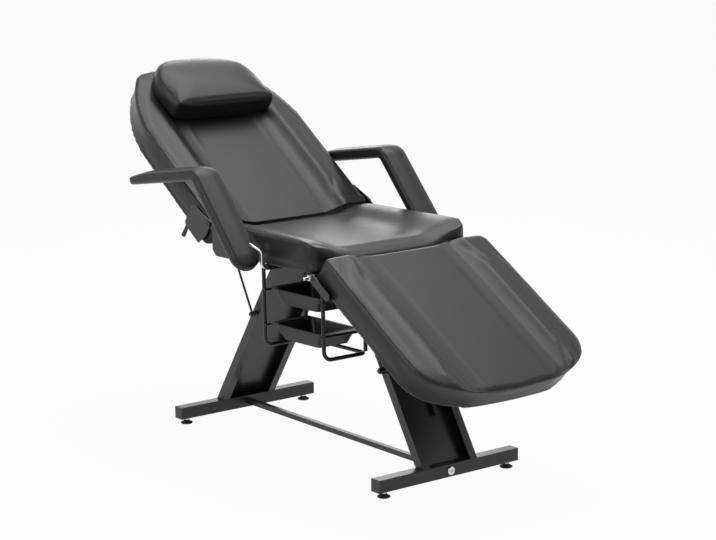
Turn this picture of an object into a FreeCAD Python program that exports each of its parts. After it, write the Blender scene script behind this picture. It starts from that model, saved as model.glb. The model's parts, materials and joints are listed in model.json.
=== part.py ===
"""Tattoo chair: three cushions on a two-legged steel base, with a reclining back, a folding leg rest,
plug-in armrests, a loose head pillow and two sliding trays.

Units are millimetres and degrees. +X points to the foot end, +Z up, and the trays are on the -Y side.
The origin is on the floor, under the middle of the whole chair.
Three working frames are used while the pieces are drawn:
  seat frame: X along the seat, Z square to it, origin on the seat's top plane over the base's middle
  back frame: X up the backrest, Z out of its front face, origin on the recline hinge
  leg frame:  X down the leg rest, Z out of its top face, origin on the leg rest's hinge
"""
import FreeCAD
import Part
import math
import os

V = FreeCAD.Vector
ORIGIN = V(0, 0, 0)
AXIS_X = V(1, 0, 0)
AXIS_Y = V(0, 1, 0)
AXIS_Z = V(0, 0, 1)

# Shared fits and plain counts
overrun = 5.0            # how far a cutting tool runs past what it cuts
running_gap = 0.08       # radial clearance of a pin in its bore
side_gap = 0.6           # between two plates that turn beside each other
seating_gap = 0.3        # between pieces of two bodies that rest on each other
HALF_TURN = 180.0
FULL_TURN = 360.0
HEXAGON_SIDES = 6
CORNER_SHARE = 1 - math.sqrt(0.5)   # how far an arc's middle lies inside its square corner
CUBIC_MM_PER_CUBIC_CM = 1000
almost_whole_share = 0.95  # of a wall or a height that a rounding takes up

# Base: two crossbars on four feet
crossbar_spacing = 1000.0
crossbar_size = 38.0
crossbar_wall = 2.0
crossbar_length = 516.0
crossbar_corner = 3.0
end_cap_thickness = 2.0
end_cap_plug = 14.0
foot_height = 19.0       # floor to the underside of a crossbar
foot_inset = 28.0        # bar end to the foot's axis
foot_radius = 19.0
foot_edge = 4.0
foot_neck_radius = 9.5
foot_pad_height = 12.0
foot_neck_height = 3.0
stud_radius = 5.0
stud_rise = 20.0         # how far the stud stands above the bar's underside
foot_nut_height = 6.0
foot_nut_radius = 9.5    # across the corners
stretcher_size = 16.0
stretcher_wall = 1.5
stretcher_plug_length = 30.0
stretcher_bolt_radius = 4.0
stretcher_head_radius = 12.5
stretcher_head_height = 6.0
stretcher_socket_radius = 4.5
stretcher_socket_depth = 3.5

# Legs: folded sheet channels with their open side towards the foot end
leg_width = 202.0
leg_depth = 30.0
leg_lip = 25.0
leg_sheet = 2.5
rear_leg_setback = 87.8  # seat's rear edge to the rear leg's lips, under the seat frame
front_leg_setback = 68.7  # seat's front edge to the front leg's lips
recess_width = 66.0      # shallow pressed recess in the front leg's web
recess_bottom = 188.0    # height of its lower edge above the floor
recess_length = 250.0
recess_depth = 10.0
leg_plate_length = 96.0
leg_plate_thickness = 5.0
leg_bolt_radius = 4.0
leg_bolt_head_radius = 7.0
leg_bolt_head_height = 5.0
leg_bolt_reach = 14.0
leg_bolt_spacing = 66.0

# Seat
seat_length = 504.0
seat_width = 593.0
seat_thickness = 93.0
seat_top_height = 694.0
seat_shift = 17.0        # the seat's middle lies this far towards the foot end
seat_tilt = 1.4          # front edge up
seat_corner = 10.0       # its rear corners seen from above
seat_front_corner = 32.0
seat_end_draw = 5.0      # the rear end reaches this much less at the bottom
seat_dish_rear = 21.0
seat_dish_front = 40.0
seat_rim_rear = 64.5     # side to the rim of the dish at each end
seat_rim_front = 26.5
seat_dish_floor = 134.5  # side to the edge of its flat floor
board_thickness = 12.0
board_inset = 16.0

# Forms shared by the three cushions
crown_height = 9.0       # the top edge rolls over within this height
crown_shoulder = 2.5
side_draw = 6.0          # how far the sides pull in half way down
bottom_draw = 3.0
top_roll = 13.0          # how far the roll reaches in from the edge

# Backrest
back_recline = 34.7      # above level, as photographed
back_flat = -34.7        # recline hinge travel to level
back_raised = 25.3       # recline hinge travel to 60 degrees
back_length = 700.0
back_extra_width = 1.0   # wider than the seat
back_thickness = 92.0
back_hinge_gap = 5.0     # seat's rear edge to the hinge axis
back_end_gap = 2.8       # hinge axis to the cushion's end
back_face_rise = 7.4     # cushion's front face above the hinge axis
back_end_flare = 15.0    # the end face reaches this much further at the bottom
back_flare_share = 0.75  # of the thickness over which it flares
back_dish = 22.0
back_rim = 92.0          # cushion's edge to the rim of the dish
back_floor = 167.0       # cushion's edge to the dish's flat floor
back_outline_shares = ((0.616, 1.0), (0.775, 0.905), (0.915, 0.735), (0.972, 0.62), (0.989, 0.465))

# Leg rest
leg_rest_drop = 31.0     # below level, as photographed
leg_rest_level = 31.0    # hinge travel to level
leg_rest_hanging = -24.0
leg_rest_length = 608.0
leg_rest_extra_width = 3.0   # wider than the seat
leg_rest_thickness = 91.0
leg_hinge_gap = 2.0      # seat's front edge to the hinge axis
leg_hinge_drop = 5.0     # seat's underside to the hinge axis
leg_face_rise = 80.0     # cushion's top face above the hinge axis
leg_end_corner = 12.0    # rounding of the end's lower corner
leg_rest_dish = 17.0
leg_rim = 93.0
leg_floor = 183.0
leg_dish_runout = 210.0  # the dish runs out through the foot end by this much
leg_outline_shares = ((0.757, 1.02), (0.857, 0.956), (0.915, 0.8355), (0.954, 0.688), (0.987, 0.497))
leg_end_draw = 19.0      # the foot end reaches this much less at the bottom

# Steel frames under the cushions
tube_size = 25.0
tube_wall = 1.8
rail_offset = 114.0      # seat rails, middle line from the chair's middle
back_rail_offset = 162.0
rail_setback = 14.0      # seat rail's end inside the seat's edge
cross_bar_width = 30.0
cross_bar_thickness = 5.0
hinge_plate = 3.0
hinge_pin_radius = 5.0
hinge_lug_radius = 11.0
side_clearance = 2.0     # cushion's side to the first hinge plate
rear_plate_start = 9.0   # seat's rear edge to its side plate
rear_plate_length = 86.0
rear_plate_chamfer = 18.0
back_strap_length = 97.0 # side plate on the backrest, from the hinge
back_strap_start = 10.0  # its end short of the hinge
leg_strap_length = 95.0
leg_strap_rise = 12.0    # above the leg rest's hinge
strap_corner = 8.0
tray_bar_place = -28.0   # along the seat frame
arm_tube_place = 27.0
arm_tube_size = 16.0
arm_tube_wall = 2.6
front_bar_setback = 17.0
back_rail_start = 12.0   # places along the back frame
back_middle_bar = 292.0
back_last_inset = 160.0  # backrest's far end to the last bar
leg_rail_start = 60.0    # places along the leg frame
leg_first_bar = 80.0
leg_middle_bar = 270.0
leg_last_bar = 480.0
rivet_head_radius = 9.5
rivet_head_height = 1.2
leg_bolt_stand = 24.0    # how far the leg rest's hinge bolts stand out of the plates
hinge_nut_height = 8.0
hinge_nut_radius = 9.5
screw_radius = 2.5
screw_head_radius = 5.0
screw_head_height = 2.5
screw_reach = 7.0        # into the board
screw_share = 0.12       # end screws' distance from a rail's ends

# Telescopic struts on the -Y side
strut_offset = 116.0     # chair's middle to the struts' plane
strut_foot_share = 0.611  # lower pins' heights, as shares of the height from bar to seat frame
stay_foot_share = 0.501
strut_foot_across_share = 0.4  # how far across the leg's flange, from its lips
stay_foot_across_share = 0.3
strut_head_along = 244.0
strut_head_depth = 94.0
stay_head_along = 80.0
stay_head_depth = 47.0
strut_pin_radius = 4.0
strut_boss_radius = 10.0
strut_boss_length = 6.0
strut_eye_radius = 9.0
strut_eye_length = 10.0
strut_neck = 14.0        # upper pin to the tube's closed end
strut_rod_radius = 3.5
strut_tube_radius = 12.0
strut_tube_wall = 1.2
strut_tip_gap = 21.7     # pushed together: rod's tip to the upper pin
strut_mouth_gap = 38.7   # tube's mouth to the lower pin
stay_bar_radius = 4.0
stay_tube_radius = 13.0
stay_tube_wall = 1.2
stay_tip_gap = 44.3
stay_mouth_gap = 39.3
bracket_plate = 3.0
pin_head_height = 4.0

# Release lever under the backrest
lever_along = 108.0
lever_depth = 94.0
lever_rod_radius = 4.0
lever_inner_inset = 115.0  # backrest's side to the crank
lever_inset = 17.0       # backrest's side to the grip
lever_drop = 18.0        # pivot to the start of the grip
lever_grip_length = 43.0
lever_grip_radius = 7.0
lever_cap_length = 8.0
lever_cap_edge = 2.7
lever_corner = 10.0
lever_ear_width = 24.0
lever_ear_start = 10.0   # crank to the first ear
lever_ear_setback = 30.0  # grip to the last ear
lever_crank = 22.0
lever_collar_radius = 8.0

# Armrests
arm_gap = 12.0           # backrest's side to the pad's inner side
arm_width = 88.0
arm_thickness = 41.0
arm_edge = 13.0
arm_crown = 4.0
arm_tip = (-563.0, 99.0)  # along the chair, and above the seat's top
arm_elbow = (-190.0, 157.0)
arm_foot = (42.0, -96.0)
arm_elbow_radius = 42.0
arm_core_width = 40.0
arm_core_thickness = 6.0
arm_core_setback = 30.0
arm_rod_radius = 5.0
arm_rod_engagement = 64.0
arm_rod_stand = 5.4      # cushion's side to the rod where it turns up
arm_rod_corner = 14.0
arm_rod_top = -54.0      # its upper bend, above the seat's top
arm_rod_entry = (-34.0, -6.0)

# Tray frame and trays
tray_rod_radius = 6.0
tray_rod_inset = 38.5    # seat's side to the near rods
tray_hanger_inset = 6.0  # seat rail's middle line to the far hangers
tray_rod_bottom = 347.0  # below the seat's top plane
tray_hanger_corner = 26.0
tray_rod_corner = 18.0
runner_radius = 4.0
tray_upper_rim = 172.0   # rims below the seat's top plane
tray_lower_rim = 277.0
tray_depth = 46.0
tray_sheet = 2.0
tray_flange = 22.0
tray_lip = 6.0
tray_end_taper = 28.0
tray_side_taper = 12.0
tray_gap = 0.5
tray_corner = 12.0
tray_far_gap = 2.0

# Head pillow
pillow_width = 378.0
pillow_length = 240.0
pillow_setback = 4.0     # backrest's far end to the pillow's back
pillow_shift = 8.0       # its front lies this far towards the +Y side
pillow_skew = 20.0       # its back lies this much further to the -Y side
pillow_outline_shares = ((0.4, 1.0), (0.61, 0.93), (0.79, 0.78), (0.9, 0.6), (0.97, 0.35))
pillow_height = 74.0     # crown above the backrest's face
pillow_crown_place = 78.0  # front edge to the crown
pillow_front_height = 62.0
pillow_rear_height = 36.0
pillow_edge = 12.0       # rounding over the front face
pillow_sink = 24.0       # how far its base reaches into the backrest's dish
pillow_bulge = 5.0
pillow_waist = 18.0      # height of its widest line
pillow_corner = 14.0
pillow_side_height = 38.0  # where its sides begin to round over
pillow_side_round = 27.0
pillow_side_stand = 1.0

# Derived places
bar_top = foot_height + crossbar_size
seat_front = seat_shift + seat_length / 2
seat_rear = seat_shift - seat_length / 2
back_width = seat_width + back_extra_width
leg_rest_width = seat_width + leg_rest_extra_width
cushion_half = max(seat_width, back_width, leg_rest_width) / 2
plate_inner = cushion_half + side_clearance
plate_middle = plate_inner + hinge_plate + side_gap
plate_outer = plate_middle + hinge_plate
frame_top = -seat_thickness
frame_bottom = frame_top - tube_size
back_board_level = back_face_rise - back_thickness
leg_board_level = leg_face_rise - leg_rest_thickness
front_bar_place = seat_front - front_bar_setback
tray_front_rod = front_bar_place + tray_rod_radius
tray_rod_near = seat_width / 2 - tray_rod_inset
tray_rod_far = rail_offset - tray_hanger_inset
rear_plate_place = seat_rear + rear_plate_start
arm_inner = back_width / 2 + arm_gap
arm_rod_out = cushion_half + arm_rod_stand
arm_socket_end = arm_rod_out - arm_rod_corner - side_clearance
runner_inset = tray_rod_radius + runner_radius
lever_outer = back_width / 2 - lever_inset
back_last_bar = back_length - back_last_inset
lever_inner = back_width / 2 - lever_inner_inset
lever_ear_inner = lever_inner + lever_ear_start
lever_ear_outer = lever_outer - lever_ear_setback
rear_lip_foot = -crossbar_spacing / 2 + crossbar_size / 2
front_lip_foot = crossbar_spacing / 2 + crossbar_size / 2
rear_lip_head = seat_rear + rear_leg_setback
front_lip_head = seat_front - front_leg_setback
leg_rise = seat_top_height + frame_bottom - leg_plate_thickness - bar_top
rear_leg_lean = math.degrees(math.atan((rear_lip_head - rear_lip_foot) / leg_rise))
front_leg_lean = math.degrees(math.atan((front_lip_foot - front_lip_head) / leg_rise))
rail_start = seat_rear + rail_setback
rail_end = seat_front - rail_setback / 2
tray_slide = 120.0       # how far a tray pulls out
arm_lift = 60.0          # how far an armrest pulls out of its socket
pillow_lift = 100.0
pillow_start = back_length + back_end_gap - pillow_setback - pillow_length


def rotated(shape, axis, angle):
    """Copy of a shape turned about an axis through the origin."""
    copy = shape.copy()
    copy.rotate(ORIGIN, axis, angle)
    return copy


def moved(shape, offset):
    """Copy of a shape shifted by a vector."""
    copy = shape.copy()
    copy.translate(offset)
    return copy


def mirrored(shape):
    """Copy of a shape on the other side of the chair's middle plane."""
    return shape.mirror(ORIGIN, AXIS_Y)


def both_sides(shape):
    """A shape and its mirror image."""
    return [shape, mirrored(shape)]


def group(shapes):
    """One compound of separate solids."""
    solids = []
    for shape in shapes:
        solids.extend(shape.Solids)
    return Part.makeCompound(solids)


def block(x_range, y_range, z_range):
    """Box between pairs of coordinates."""
    low = V(x_range[0], y_range[0], z_range[0])
    return Part.makeBox(x_range[1] - x_range[0], y_range[1] - y_range[0], z_range[1] - z_range[0], low)


def rod(start, end, radius):
    """Round bar between two points."""
    path = end.sub(start)
    return Part.makeCylinder(radius, path.Length, start, path)


def cross_rod(x, z, y_range, radius):
    """Round bar along Y."""
    return rod(V(x, y_range[0], z), V(x, y_range[1], z), radius)


def tube(x_range, y_range, z_range, wall, along):
    """Square tube, open at both ends along one axis (0 for X, 1 for Y)."""
    outer = block(x_range, y_range, z_range)
    ranges = [x_range, y_range, z_range]
    inner = []
    for index, (low, high) in enumerate(ranges):
        if index == along:
            inner.append((low - overrun, high + overrun))
        else:
            inner.append((low + wall, high - wall))
    return outer.cut(block(*inner))


def hexagon(centre, axis, radius, height):
    """Hexagonal prism standing on a point."""
    turn = FreeCAD.Rotation(AXIS_Z, axis)
    points = []
    for index in range(HEXAGON_SIDES + 1):
        angle = math.radians(index * FULL_TURN / HEXAGON_SIDES)
        points.append(centre.add(turn.multVec(V(radius * math.cos(angle), radius * math.sin(angle), 0))))
    return Part.Face(Part.makePolygon(points)).extrude(turn.multVec(V(0, 0, height)))


def line(start, end):
    """Straight edge."""
    return Part.LineSegment(start, end).toShape()


def arc(start, middle, end):
    """Arc through three points."""
    return Part.Arc(start, middle, end).toShape()


def side_plate(outline, y_range):
    """Plate drawn by its X and Z corners, standing between two Y planes."""
    points = [V(x, y_range[0], z) for x, z in outline]
    points.append(points[0])
    return Part.Face(Part.makePolygon(points)).extrude(V(0, y_range[1] - y_range[0], 0))


def hinge_bracket(pin, outline, y_range, flange_x, flange_top, rail_side, bore):
    """Folded hinge bracket on the +Y side.

    A plate on the cushion's side carries a round lug about the pin. Its foot is folded in under the
    cushion and ends at the side of a frame rail.
    """
    lug = cross_rod(pin[0], pin[1], y_range, hinge_lug_radius)
    flange = block(flange_x, (rail_side, y_range[1]), (flange_top - hinge_plate, flange_top))
    plate = side_plate(outline, y_range).fuse([lug, flange]).removeSplitter()
    return plate.cut(cross_rod(pin[0], pin[1], (y_range[0] - overrun, y_range[1] + overrun), bore))


def bent_rod(points, bends, radius):
    """Round rod along straight runs joined by tangent arcs, one bend radius for each inner point."""
    edges = []
    start = points[0]
    for index, bend in enumerate(bends):
        corner = points[index + 1]
        before = points[index].sub(corner).normalize()
        after = points[index + 2].sub(corner).normalize()
        half_angle = before.getAngle(after) / 2
        reach = bend / math.tan(half_angle)
        first = corner.add(V(before).multiply(reach))
        last = corner.add(V(after).multiply(reach))
        inward = before.add(after).normalize()
        centre = corner.add(V(inward).multiply(bend / math.sin(half_angle)))
        middle = centre.sub(V(inward).multiply(bend))
        edges.append(line(start, first))
        edges.append(arc(first, middle, last))
        start = last
    edges.append(line(start, points[-1]))
    path = Part.Wire(edges)
    heading = points[1].sub(points[0])
    ring = Part.Wire(Part.makeCircle(radius, points[0], heading))
    return path.makePipeShell([ring], True, True)


def in_seat(shape):
    """Move a shape from the seat frame to the chair's frame."""
    return moved(rotated(shape, AXIS_Y, -seat_tilt), V(0, 0, seat_top_height))


def seat_point(x, y, z):
    """A seat frame point in the chair's frame."""
    turned = FreeCAD.Rotation(AXIS_Y, -seat_tilt).multVec(V(x, y, z))
    return turned.add(V(0, 0, seat_top_height))


back_hinge = seat_point(seat_rear - back_hinge_gap, 0, 0)
leg_hinge = seat_point(seat_front + leg_hinge_gap, 0, frame_top - leg_hinge_drop)


def in_back(shape, travel=0.0):
    """Move a shape from the back frame to the chair's frame, with the recline hinge at some travel."""
    turned = rotated(rotated(shape, AXIS_Z, HALF_TURN), AXIS_Y, back_recline + travel)
    return moved(turned, back_hinge)


def back_point(x, y, z, travel=0.0):
    """A back frame point in the chair's frame."""
    flipped = V(-x, -y, z)
    turned = FreeCAD.Rotation(AXIS_Y, back_recline + travel).multVec(flipped)
    return turned.add(back_hinge)


def in_leg_rest(shape, travel=0.0):
    """Move a shape from the leg frame to the chair's frame, with its hinge at some travel."""
    return moved(rotated(shape, AXIS_Y, leg_rest_drop - travel), leg_hinge)


def leg_point(x, y, z, travel=0.0):
    """A leg frame point in the chair's frame."""
    turned = FreeCAD.Rotation(AXIS_Y, leg_rest_drop - travel).multVec(V(x, y, z))
    return turned.add(leg_hinge)


def slab_outline(start, end, half, level, shares):
    """Closed outline at one level: straight sides, then a rounded far end of five arcs."""
    def at(share, side):
        return V(end * share[0], half * share[1] * side, level)

    side_end, shoulder, corner_start, corner_middle, corner_end = shares
    tip = V(end, 0, level)
    edges = [line(V(start, -half, level), at(side_end, -1))]
    edges.append(arc(at(side_end, -1), at(shoulder, -1), at(corner_start, -1)))
    edges.append(arc(at(corner_start, -1), at(corner_middle, -1), at(corner_end, -1)))
    edges.append(arc(at(corner_end, -1), tip, at(corner_end, 1)))
    edges.append(arc(at(corner_end, 1), at(corner_middle, 1), at(corner_start, 1)))
    edges.append(arc(at(corner_start, 1), at(shoulder, 1), at(side_end, 1)))
    edges.append(line(at(side_end, 1), V(start, half, level)))
    edges.append(line(V(start, half, level), V(start, -half, level)))
    return Part.Wire(edges)


def box_outline(start, end, half, start_corner, end_corner, level):
    """Closed rectangle at one level, with one corner radius at its start and one at its end."""
    def bend(x, y, x_side, y_side):
        """Corner arc about a rounded corner, from the X side to the Y side."""
        corner = end_corner if x_side > 0 else start_corner
        centre = V(x - x_side * corner, y - y_side * corner, level)
        diagonal = corner * (1 - CORNER_SHARE)
        on_x = centre.add(V(x_side * corner, 0, 0))
        on_y = centre.add(V(0, y_side * corner, 0))
        middle = centre.add(V(x_side * diagonal, y_side * diagonal, 0))
        return on_x, middle, on_y

    a_x, a_m, a_y = bend(end, -half, 1, -1)
    b_x, b_m, b_y = bend(end, half, 1, 1)
    c_x, c_m, c_y = bend(start, half, -1, 1)
    d_x, d_m, d_y = bend(start, -half, -1, -1)
    edges = [line(d_y, a_y), arc(a_y, a_m, a_x), line(a_x, b_x), arc(b_x, b_m, b_y)]
    edges += [line(b_y, c_y), arc(c_y, c_m, c_x), line(c_x, d_x), arc(d_x, d_m, d_y)]
    return Part.Wire(edges)


def cushion(outline, thickness, top):
    """Stuffed slab: drawn-in sides below the top edge, and a crown that rolls over it.

    outline(inset, level) gives the closed wire of one level.
    """
    edge = top - crown_height
    bottom = top - thickness
    sides = [outline(bottom_draw, bottom), outline(side_draw, (edge + bottom) / 2), outline(0, edge)]
    roll = [outline(0, edge), outline(crown_shoulder, top - crown_shoulder), outline(top_roll, top)]
    body = Part.makeLoft(sides, True, False)
    crown = Part.makeLoft(roll, True, True)
    return body.fuse(crown)


def seat_parts():
    """Seat cushion, its board and the screws that hold the board to the frame."""
    half = seat_width / 2

    def outline(inset, level):
        draw = seat_end_draw * -level / seat_thickness
        return box_outline(seat_rear + inset + draw, seat_front - inset, half - inset, seat_corner,
                           seat_front_corner, level)

    pad = cushion(outline, seat_thickness, 0)
    ends = []
    for x, depth, rim in ((seat_rear - overrun, seat_dish_rear, seat_rim_rear),
                          (seat_front + overrun, seat_dish_front, seat_rim_front)):
        foot = half - seat_dish_floor
        crest = half - rim + (seat_dish_floor - rim) * crown_height / depth
        corners = [V(x, -crest, crown_height), V(x, -foot, -depth), V(x, foot, -depth),
                   V(x, crest, crown_height)]
        ends.append(Part.makePolygon(corners + corners[:1]))
    trough = Part.makeLoft(ends, True, True)
    board_wire = outline(board_inset, frame_top)
    board = Part.Face(board_wire).extrude(V(0, 0, board_thickness))
    pad = pad.cut([trough, board])
    screws = []
    span = rail_end - rail_start
    for x in (rail_start + span * screw_share, (rail_start + rail_end) / 2, rail_end - span * screw_share):
        screws.append(board_screw(x, rail_offset, frame_top))
    screws = [screw for one in screws for screw in both_sides(one)]
    return {
        "seat_cushion": in_seat(pad),
        "seat_board": in_seat(board.cut(screws)),
        "seat_screws": in_seat(group(screws)),
    }, screws


def board_screw(x, y, level):
    """Pan-head screw that holds a tube's upper wall to the board above it."""
    head_top = level - tube_wall
    shank = Part.makeCylinder(screw_radius, tube_wall + screw_reach, V(x, y, head_top))
    head = Part.makeCylinder(screw_head_radius, screw_head_height, V(x, y, head_top - screw_head_height))
    return shank.fuse(head)


def cross_bars(x, level, rail, reach):
    """A flat cross bar under a board: one length between the rails, and outer lengths up to reach."""
    half = cross_bar_width / 2
    side = tube_size / 2
    heights = (level - cross_bar_thickness, level)
    bars = [block((x - half, x + half), (-rail + side, rail - side), heights)]
    if reach > rail + side:
        bars += both_sides(block((x - half, x + half), (rail + side, reach), heights))
    return bars


def frame_rails(x_range, level, rail):
    """Two rails along a frame."""
    half = tube_size / 2
    return both_sides(tube(x_range, (rail - half, rail + half), (level - tube_size, level), tube_wall, 0))


def leg_top_plate(place):
    """Plate on top of a leg, under both seat rails, with four bolt holes, and its bolts."""
    top = frame_bottom
    low = top - leg_plate_thickness
    half = rail_offset + tube_size / 2
    plate = block((place - leg_plate_length / 2, place + leg_plate_length / 2), (-half, half), (low, top))
    bolts = []
    for x in (place - leg_bolt_spacing / 2, place + leg_bolt_spacing / 2):
        shank_length = leg_plate_thickness + leg_bolt_reach
        shank = Part.makeCylinder(leg_bolt_radius, shank_length, V(x, rail_offset, low))
        head = hexagon(V(x, rail_offset, low), V(0, 0, -1), leg_bolt_head_radius, leg_bolt_head_height)
        bolts.extend(both_sides(shank.fuse(head)))
    return plate.cut(bolts), bolts


def leg_places():
    """Where the two legs meet their top plates: the middle of each leg's section, along the seat frame."""
    rear = rear_lip_head - leg_depth / math.cos(math.radians(rear_leg_lean)) / 2
    front = front_lip_head - leg_depth / math.cos(math.radians(front_leg_lean)) / 2
    return rear, front


def leg_channel(lip_foot, lean):
    """Folded channel that leans along X: lean is positive towards +X.

    The lip plane passes through lip_foot at the bar's top; the web lies behind it.
    """
    height = seat_top_height / math.cos(math.radians(lean))
    half = leg_width / 2
    web = block((-leg_depth, -leg_depth + leg_sheet), (-half, half), (-height, height))
    flange = block((-leg_depth, 0), (half - leg_sheet, half), (-height, height))
    lip = block((-leg_sheet, 0), (half - leg_lip, half), (-height, height))
    channel = web.fuse(both_sides(flange) + both_sides(lip)).removeSplitter()
    channel = moved(rotated(channel, AXIS_Y, lean), V(lip_foot, 0, bar_top))
    reach = seat_top_height * 2
    below = block((-reach, reach), (-reach, reach), (-reach, bar_top))
    above = in_seat(block((-reach, reach), (-reach, reach), (frame_bottom - leg_plate_thickness, reach)))
    return channel.cut([below, above])


def with_recess(channel):
    """Press a shallow recess into the front leg's web, towards its back."""
    half = recess_width / 2
    opening = block((-leg_depth - recess_depth, -leg_depth + overrun), (-half, half), (0, recess_length))
    skin = block((-leg_depth - recess_depth - leg_sheet, -leg_depth), (-half - leg_sheet, half + leg_sheet),
                 (-leg_sheet, recess_length + leg_sheet))
    rise = (recess_bottom - bar_top) / math.cos(math.radians(front_leg_lean))

    def on_leg(shape):
        leaning = rotated(moved(shape, V(0, 0, rise)), AXIS_Y, -front_leg_lean)
        return moved(leaning, V(front_lip_foot, 0, bar_top))

    return channel.fuse(on_leg(skin)).cut(on_leg(opening)).removeSplitter()


def leg_line(lip_foot, lean, height):
    """X of the lip plane at a height above the floor."""
    return lip_foot + (height - bar_top) * math.tan(math.radians(lean))


def leg_flange_place(lip_foot, lean, height, share):
    """X of a point on a leg's flange at a height above the floor, some share across from its lips."""
    return leg_line(lip_foot, lean, height) - leg_depth / math.cos(math.radians(lean)) * share


def strut_foot_height(share):
    """Height of a strut's lower pin, as a share of the height from the bar to the seat frame."""
    return bar_top + share * (seat_top_height + frame_bottom - bar_top)


strut_foot_z = strut_foot_height(strut_foot_share)
strut_foot_x = leg_flange_place(rear_lip_foot, rear_leg_lean, strut_foot_z, strut_foot_across_share)
strut_foot = V(strut_foot_x, -strut_offset, strut_foot_z)
stay_foot_z = strut_foot_height(stay_foot_share)
stay_foot_x = leg_flange_place(front_lip_foot, -front_leg_lean, stay_foot_z, stay_foot_across_share)
stay_foot = V(stay_foot_x, -strut_offset, stay_foot_z)
strut_head = back_point(strut_head_along, strut_offset, -strut_head_depth)
stay_head = leg_point(stay_head_along, -strut_offset, -stay_head_depth)
strut_closed = min(strut_foot.distanceToPoint(back_point(strut_head_along, strut_offset,
                                                         -strut_head_depth, travel))
                   for travel in (back_flat, back_raised))
stay_closed = min(stay_foot.distanceToPoint(leg_point(stay_head_along, -strut_offset,
                                                      -stay_head_depth, travel))
                  for travel in (leg_rest_hanging, leg_rest_level))
strut_rod_reach = strut_closed - strut_tip_gap
strut_tube_reach = strut_closed - strut_mouth_gap
stay_bar_reach = stay_closed - stay_tip_gap
stay_tube_reach = stay_closed - stay_mouth_gap


def base_parts():
    """Crossbars, end caps, feet with their nuts, stretcher, legs and leg plates."""
    parts = {}
    half_bar = crossbar_size / 2
    half_length = crossbar_length / 2
    foot_y = half_length - foot_inset
    middle_z = foot_height + half_bar
    stretcher_end = crossbar_spacing / 2 - half_bar
    places = {"rear": -crossbar_spacing / 2, "front": crossbar_spacing / 2}
    bolts = []
    caps = []
    nuts = []
    plugs = []
    for side, place in places.items():
        outward = 1 if place > 0 else -1
        bar = tube((place - half_bar, place + half_bar), (-half_length, half_length),
                   (foot_height, bar_top), crossbar_wall, 1)
        long_edges = [edge for edge in bar.Edges
                      if edge.Length > crossbar_length - crossbar_wall
                      and abs(edge.CenterOfMass.x - place) > half_bar - crossbar_wall / 2
                      and abs(edge.CenterOfMass.z - middle_z) > half_bar - crossbar_wall / 2]
        bar = bar.makeFillet(min(crossbar_corner, crossbar_wall * almost_whole_share), long_edges)
        shank_start = place + outward * half_bar
        inner_end = V(outward * (stretcher_end - stretcher_plug_length), 0, middle_z)
        shank = rod(V(shank_start, 0, middle_z), inner_end, stretcher_bolt_radius)
        head = Part.makeCylinder(stretcher_head_radius, stretcher_head_height,
                                 V(place + outward * half_bar, 0, middle_z), V(outward, 0, 0))
        head_middle = abs(place) + half_bar + stretcher_head_height / 2
        rim = [edge for edge in head.Edges if abs(edge.CenterOfMass.x) > head_middle]
        head = head.makeFillet(stretcher_head_height * almost_whole_share / 2, rim[:1])
        socket_x = place + outward * (half_bar + stretcher_head_height)
        socket = hexagon(V(socket_x, 0, middle_z), V(-outward, 0, 0), stretcher_socket_radius,
                         stretcher_socket_depth)
        bolt = shank.fuse(head).cut(socket)
        bolts.append(bolt)
        inside = stretcher_size / 2 - stretcher_wall
        plug = block(sorted((outward * (stretcher_end - stretcher_plug_length), outward * stretcher_end)),
                     (-inside, inside), (middle_z - inside, middle_z + inside))
        plugs.append(plug.cut(rod(V(shank_start, 0, middle_z), inner_end, stretcher_bolt_radius)))
        holes = [rod(V(place - half_bar - overrun, 0, middle_z), V(place + half_bar + overrun, 0, middle_z),
                     stretcher_bolt_radius + running_gap)]
        for y_side in (-1, 1):
            foot_at = V(place, y_side * foot_y, foot_height)
            holes.append(Part.makeCylinder(stud_radius + running_gap, crossbar_wall + overrun * 2,
                                           foot_at.sub(V(0, 0, overrun))))
            nut = hexagon(foot_at.sub(V(0, 0, foot_nut_height)), AXIS_Z, foot_nut_radius, foot_nut_height)
            on_floor = V(foot_at.x, foot_at.y, 0)
            nuts.append(nut.cut(Part.makeCylinder(stud_radius + running_gap, foot_height, on_floor)))
            cap = block((place - half_bar, place + half_bar),
                        sorted((y_side * half_length, y_side * (half_length + end_cap_thickness))),
                        (foot_height, bar_top))
            inside_bar = half_bar - crossbar_wall
            stem = block((place - inside_bar, place + inside_bar),
                         sorted((y_side * half_length, y_side * (half_length - end_cap_plug))),
                         (middle_z - inside_bar, middle_z + inside_bar))
            caps.append(cap.fuse(stem).removeSplitter())
            y_name = "near" if y_side < 0 else "far"
            parts[f"foot_{side}_{y_name}"] = levelling_foot(place, y_side * foot_y)
        parts[f"{side}_crossbar"] = bar.cut(holes)
    parts["crossbar_end_caps"] = group(caps)
    parts["foot_nuts"] = group(nuts)
    parts["stretcher_bolts"] = group(bolts)
    parts["stretcher_plugs"] = group(plugs)
    half = stretcher_size / 2
    parts["stretcher_bar"] = tube((-stretcher_end, stretcher_end), (-half, half),
                                  (middle_z - half, middle_z + half), stretcher_wall, 0)
    parts["rear_leg_channel"] = leg_channel(rear_lip_foot, rear_leg_lean)
    front = leg_channel(front_lip_foot, -front_leg_lean)
    parts["front_leg_channel"] = with_recess(front)
    rear_place, front_place = leg_places()
    plates = []
    leg_bolts = []
    for place in (rear_place, front_place):
        plate, bolts_here = leg_top_plate(place)
        plates.append(plate)
        leg_bolts.extend(bolts_here)
    parts["leg_top_plates"] = in_seat(group(plates))
    parts["leg_bolts"] = in_seat(group(leg_bolts))
    parts["strut_lower_stud"] = foot_stud(strut_foot)
    parts["stay_lower_stud"] = foot_stud(stay_foot)
    return parts, leg_bolts


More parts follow.
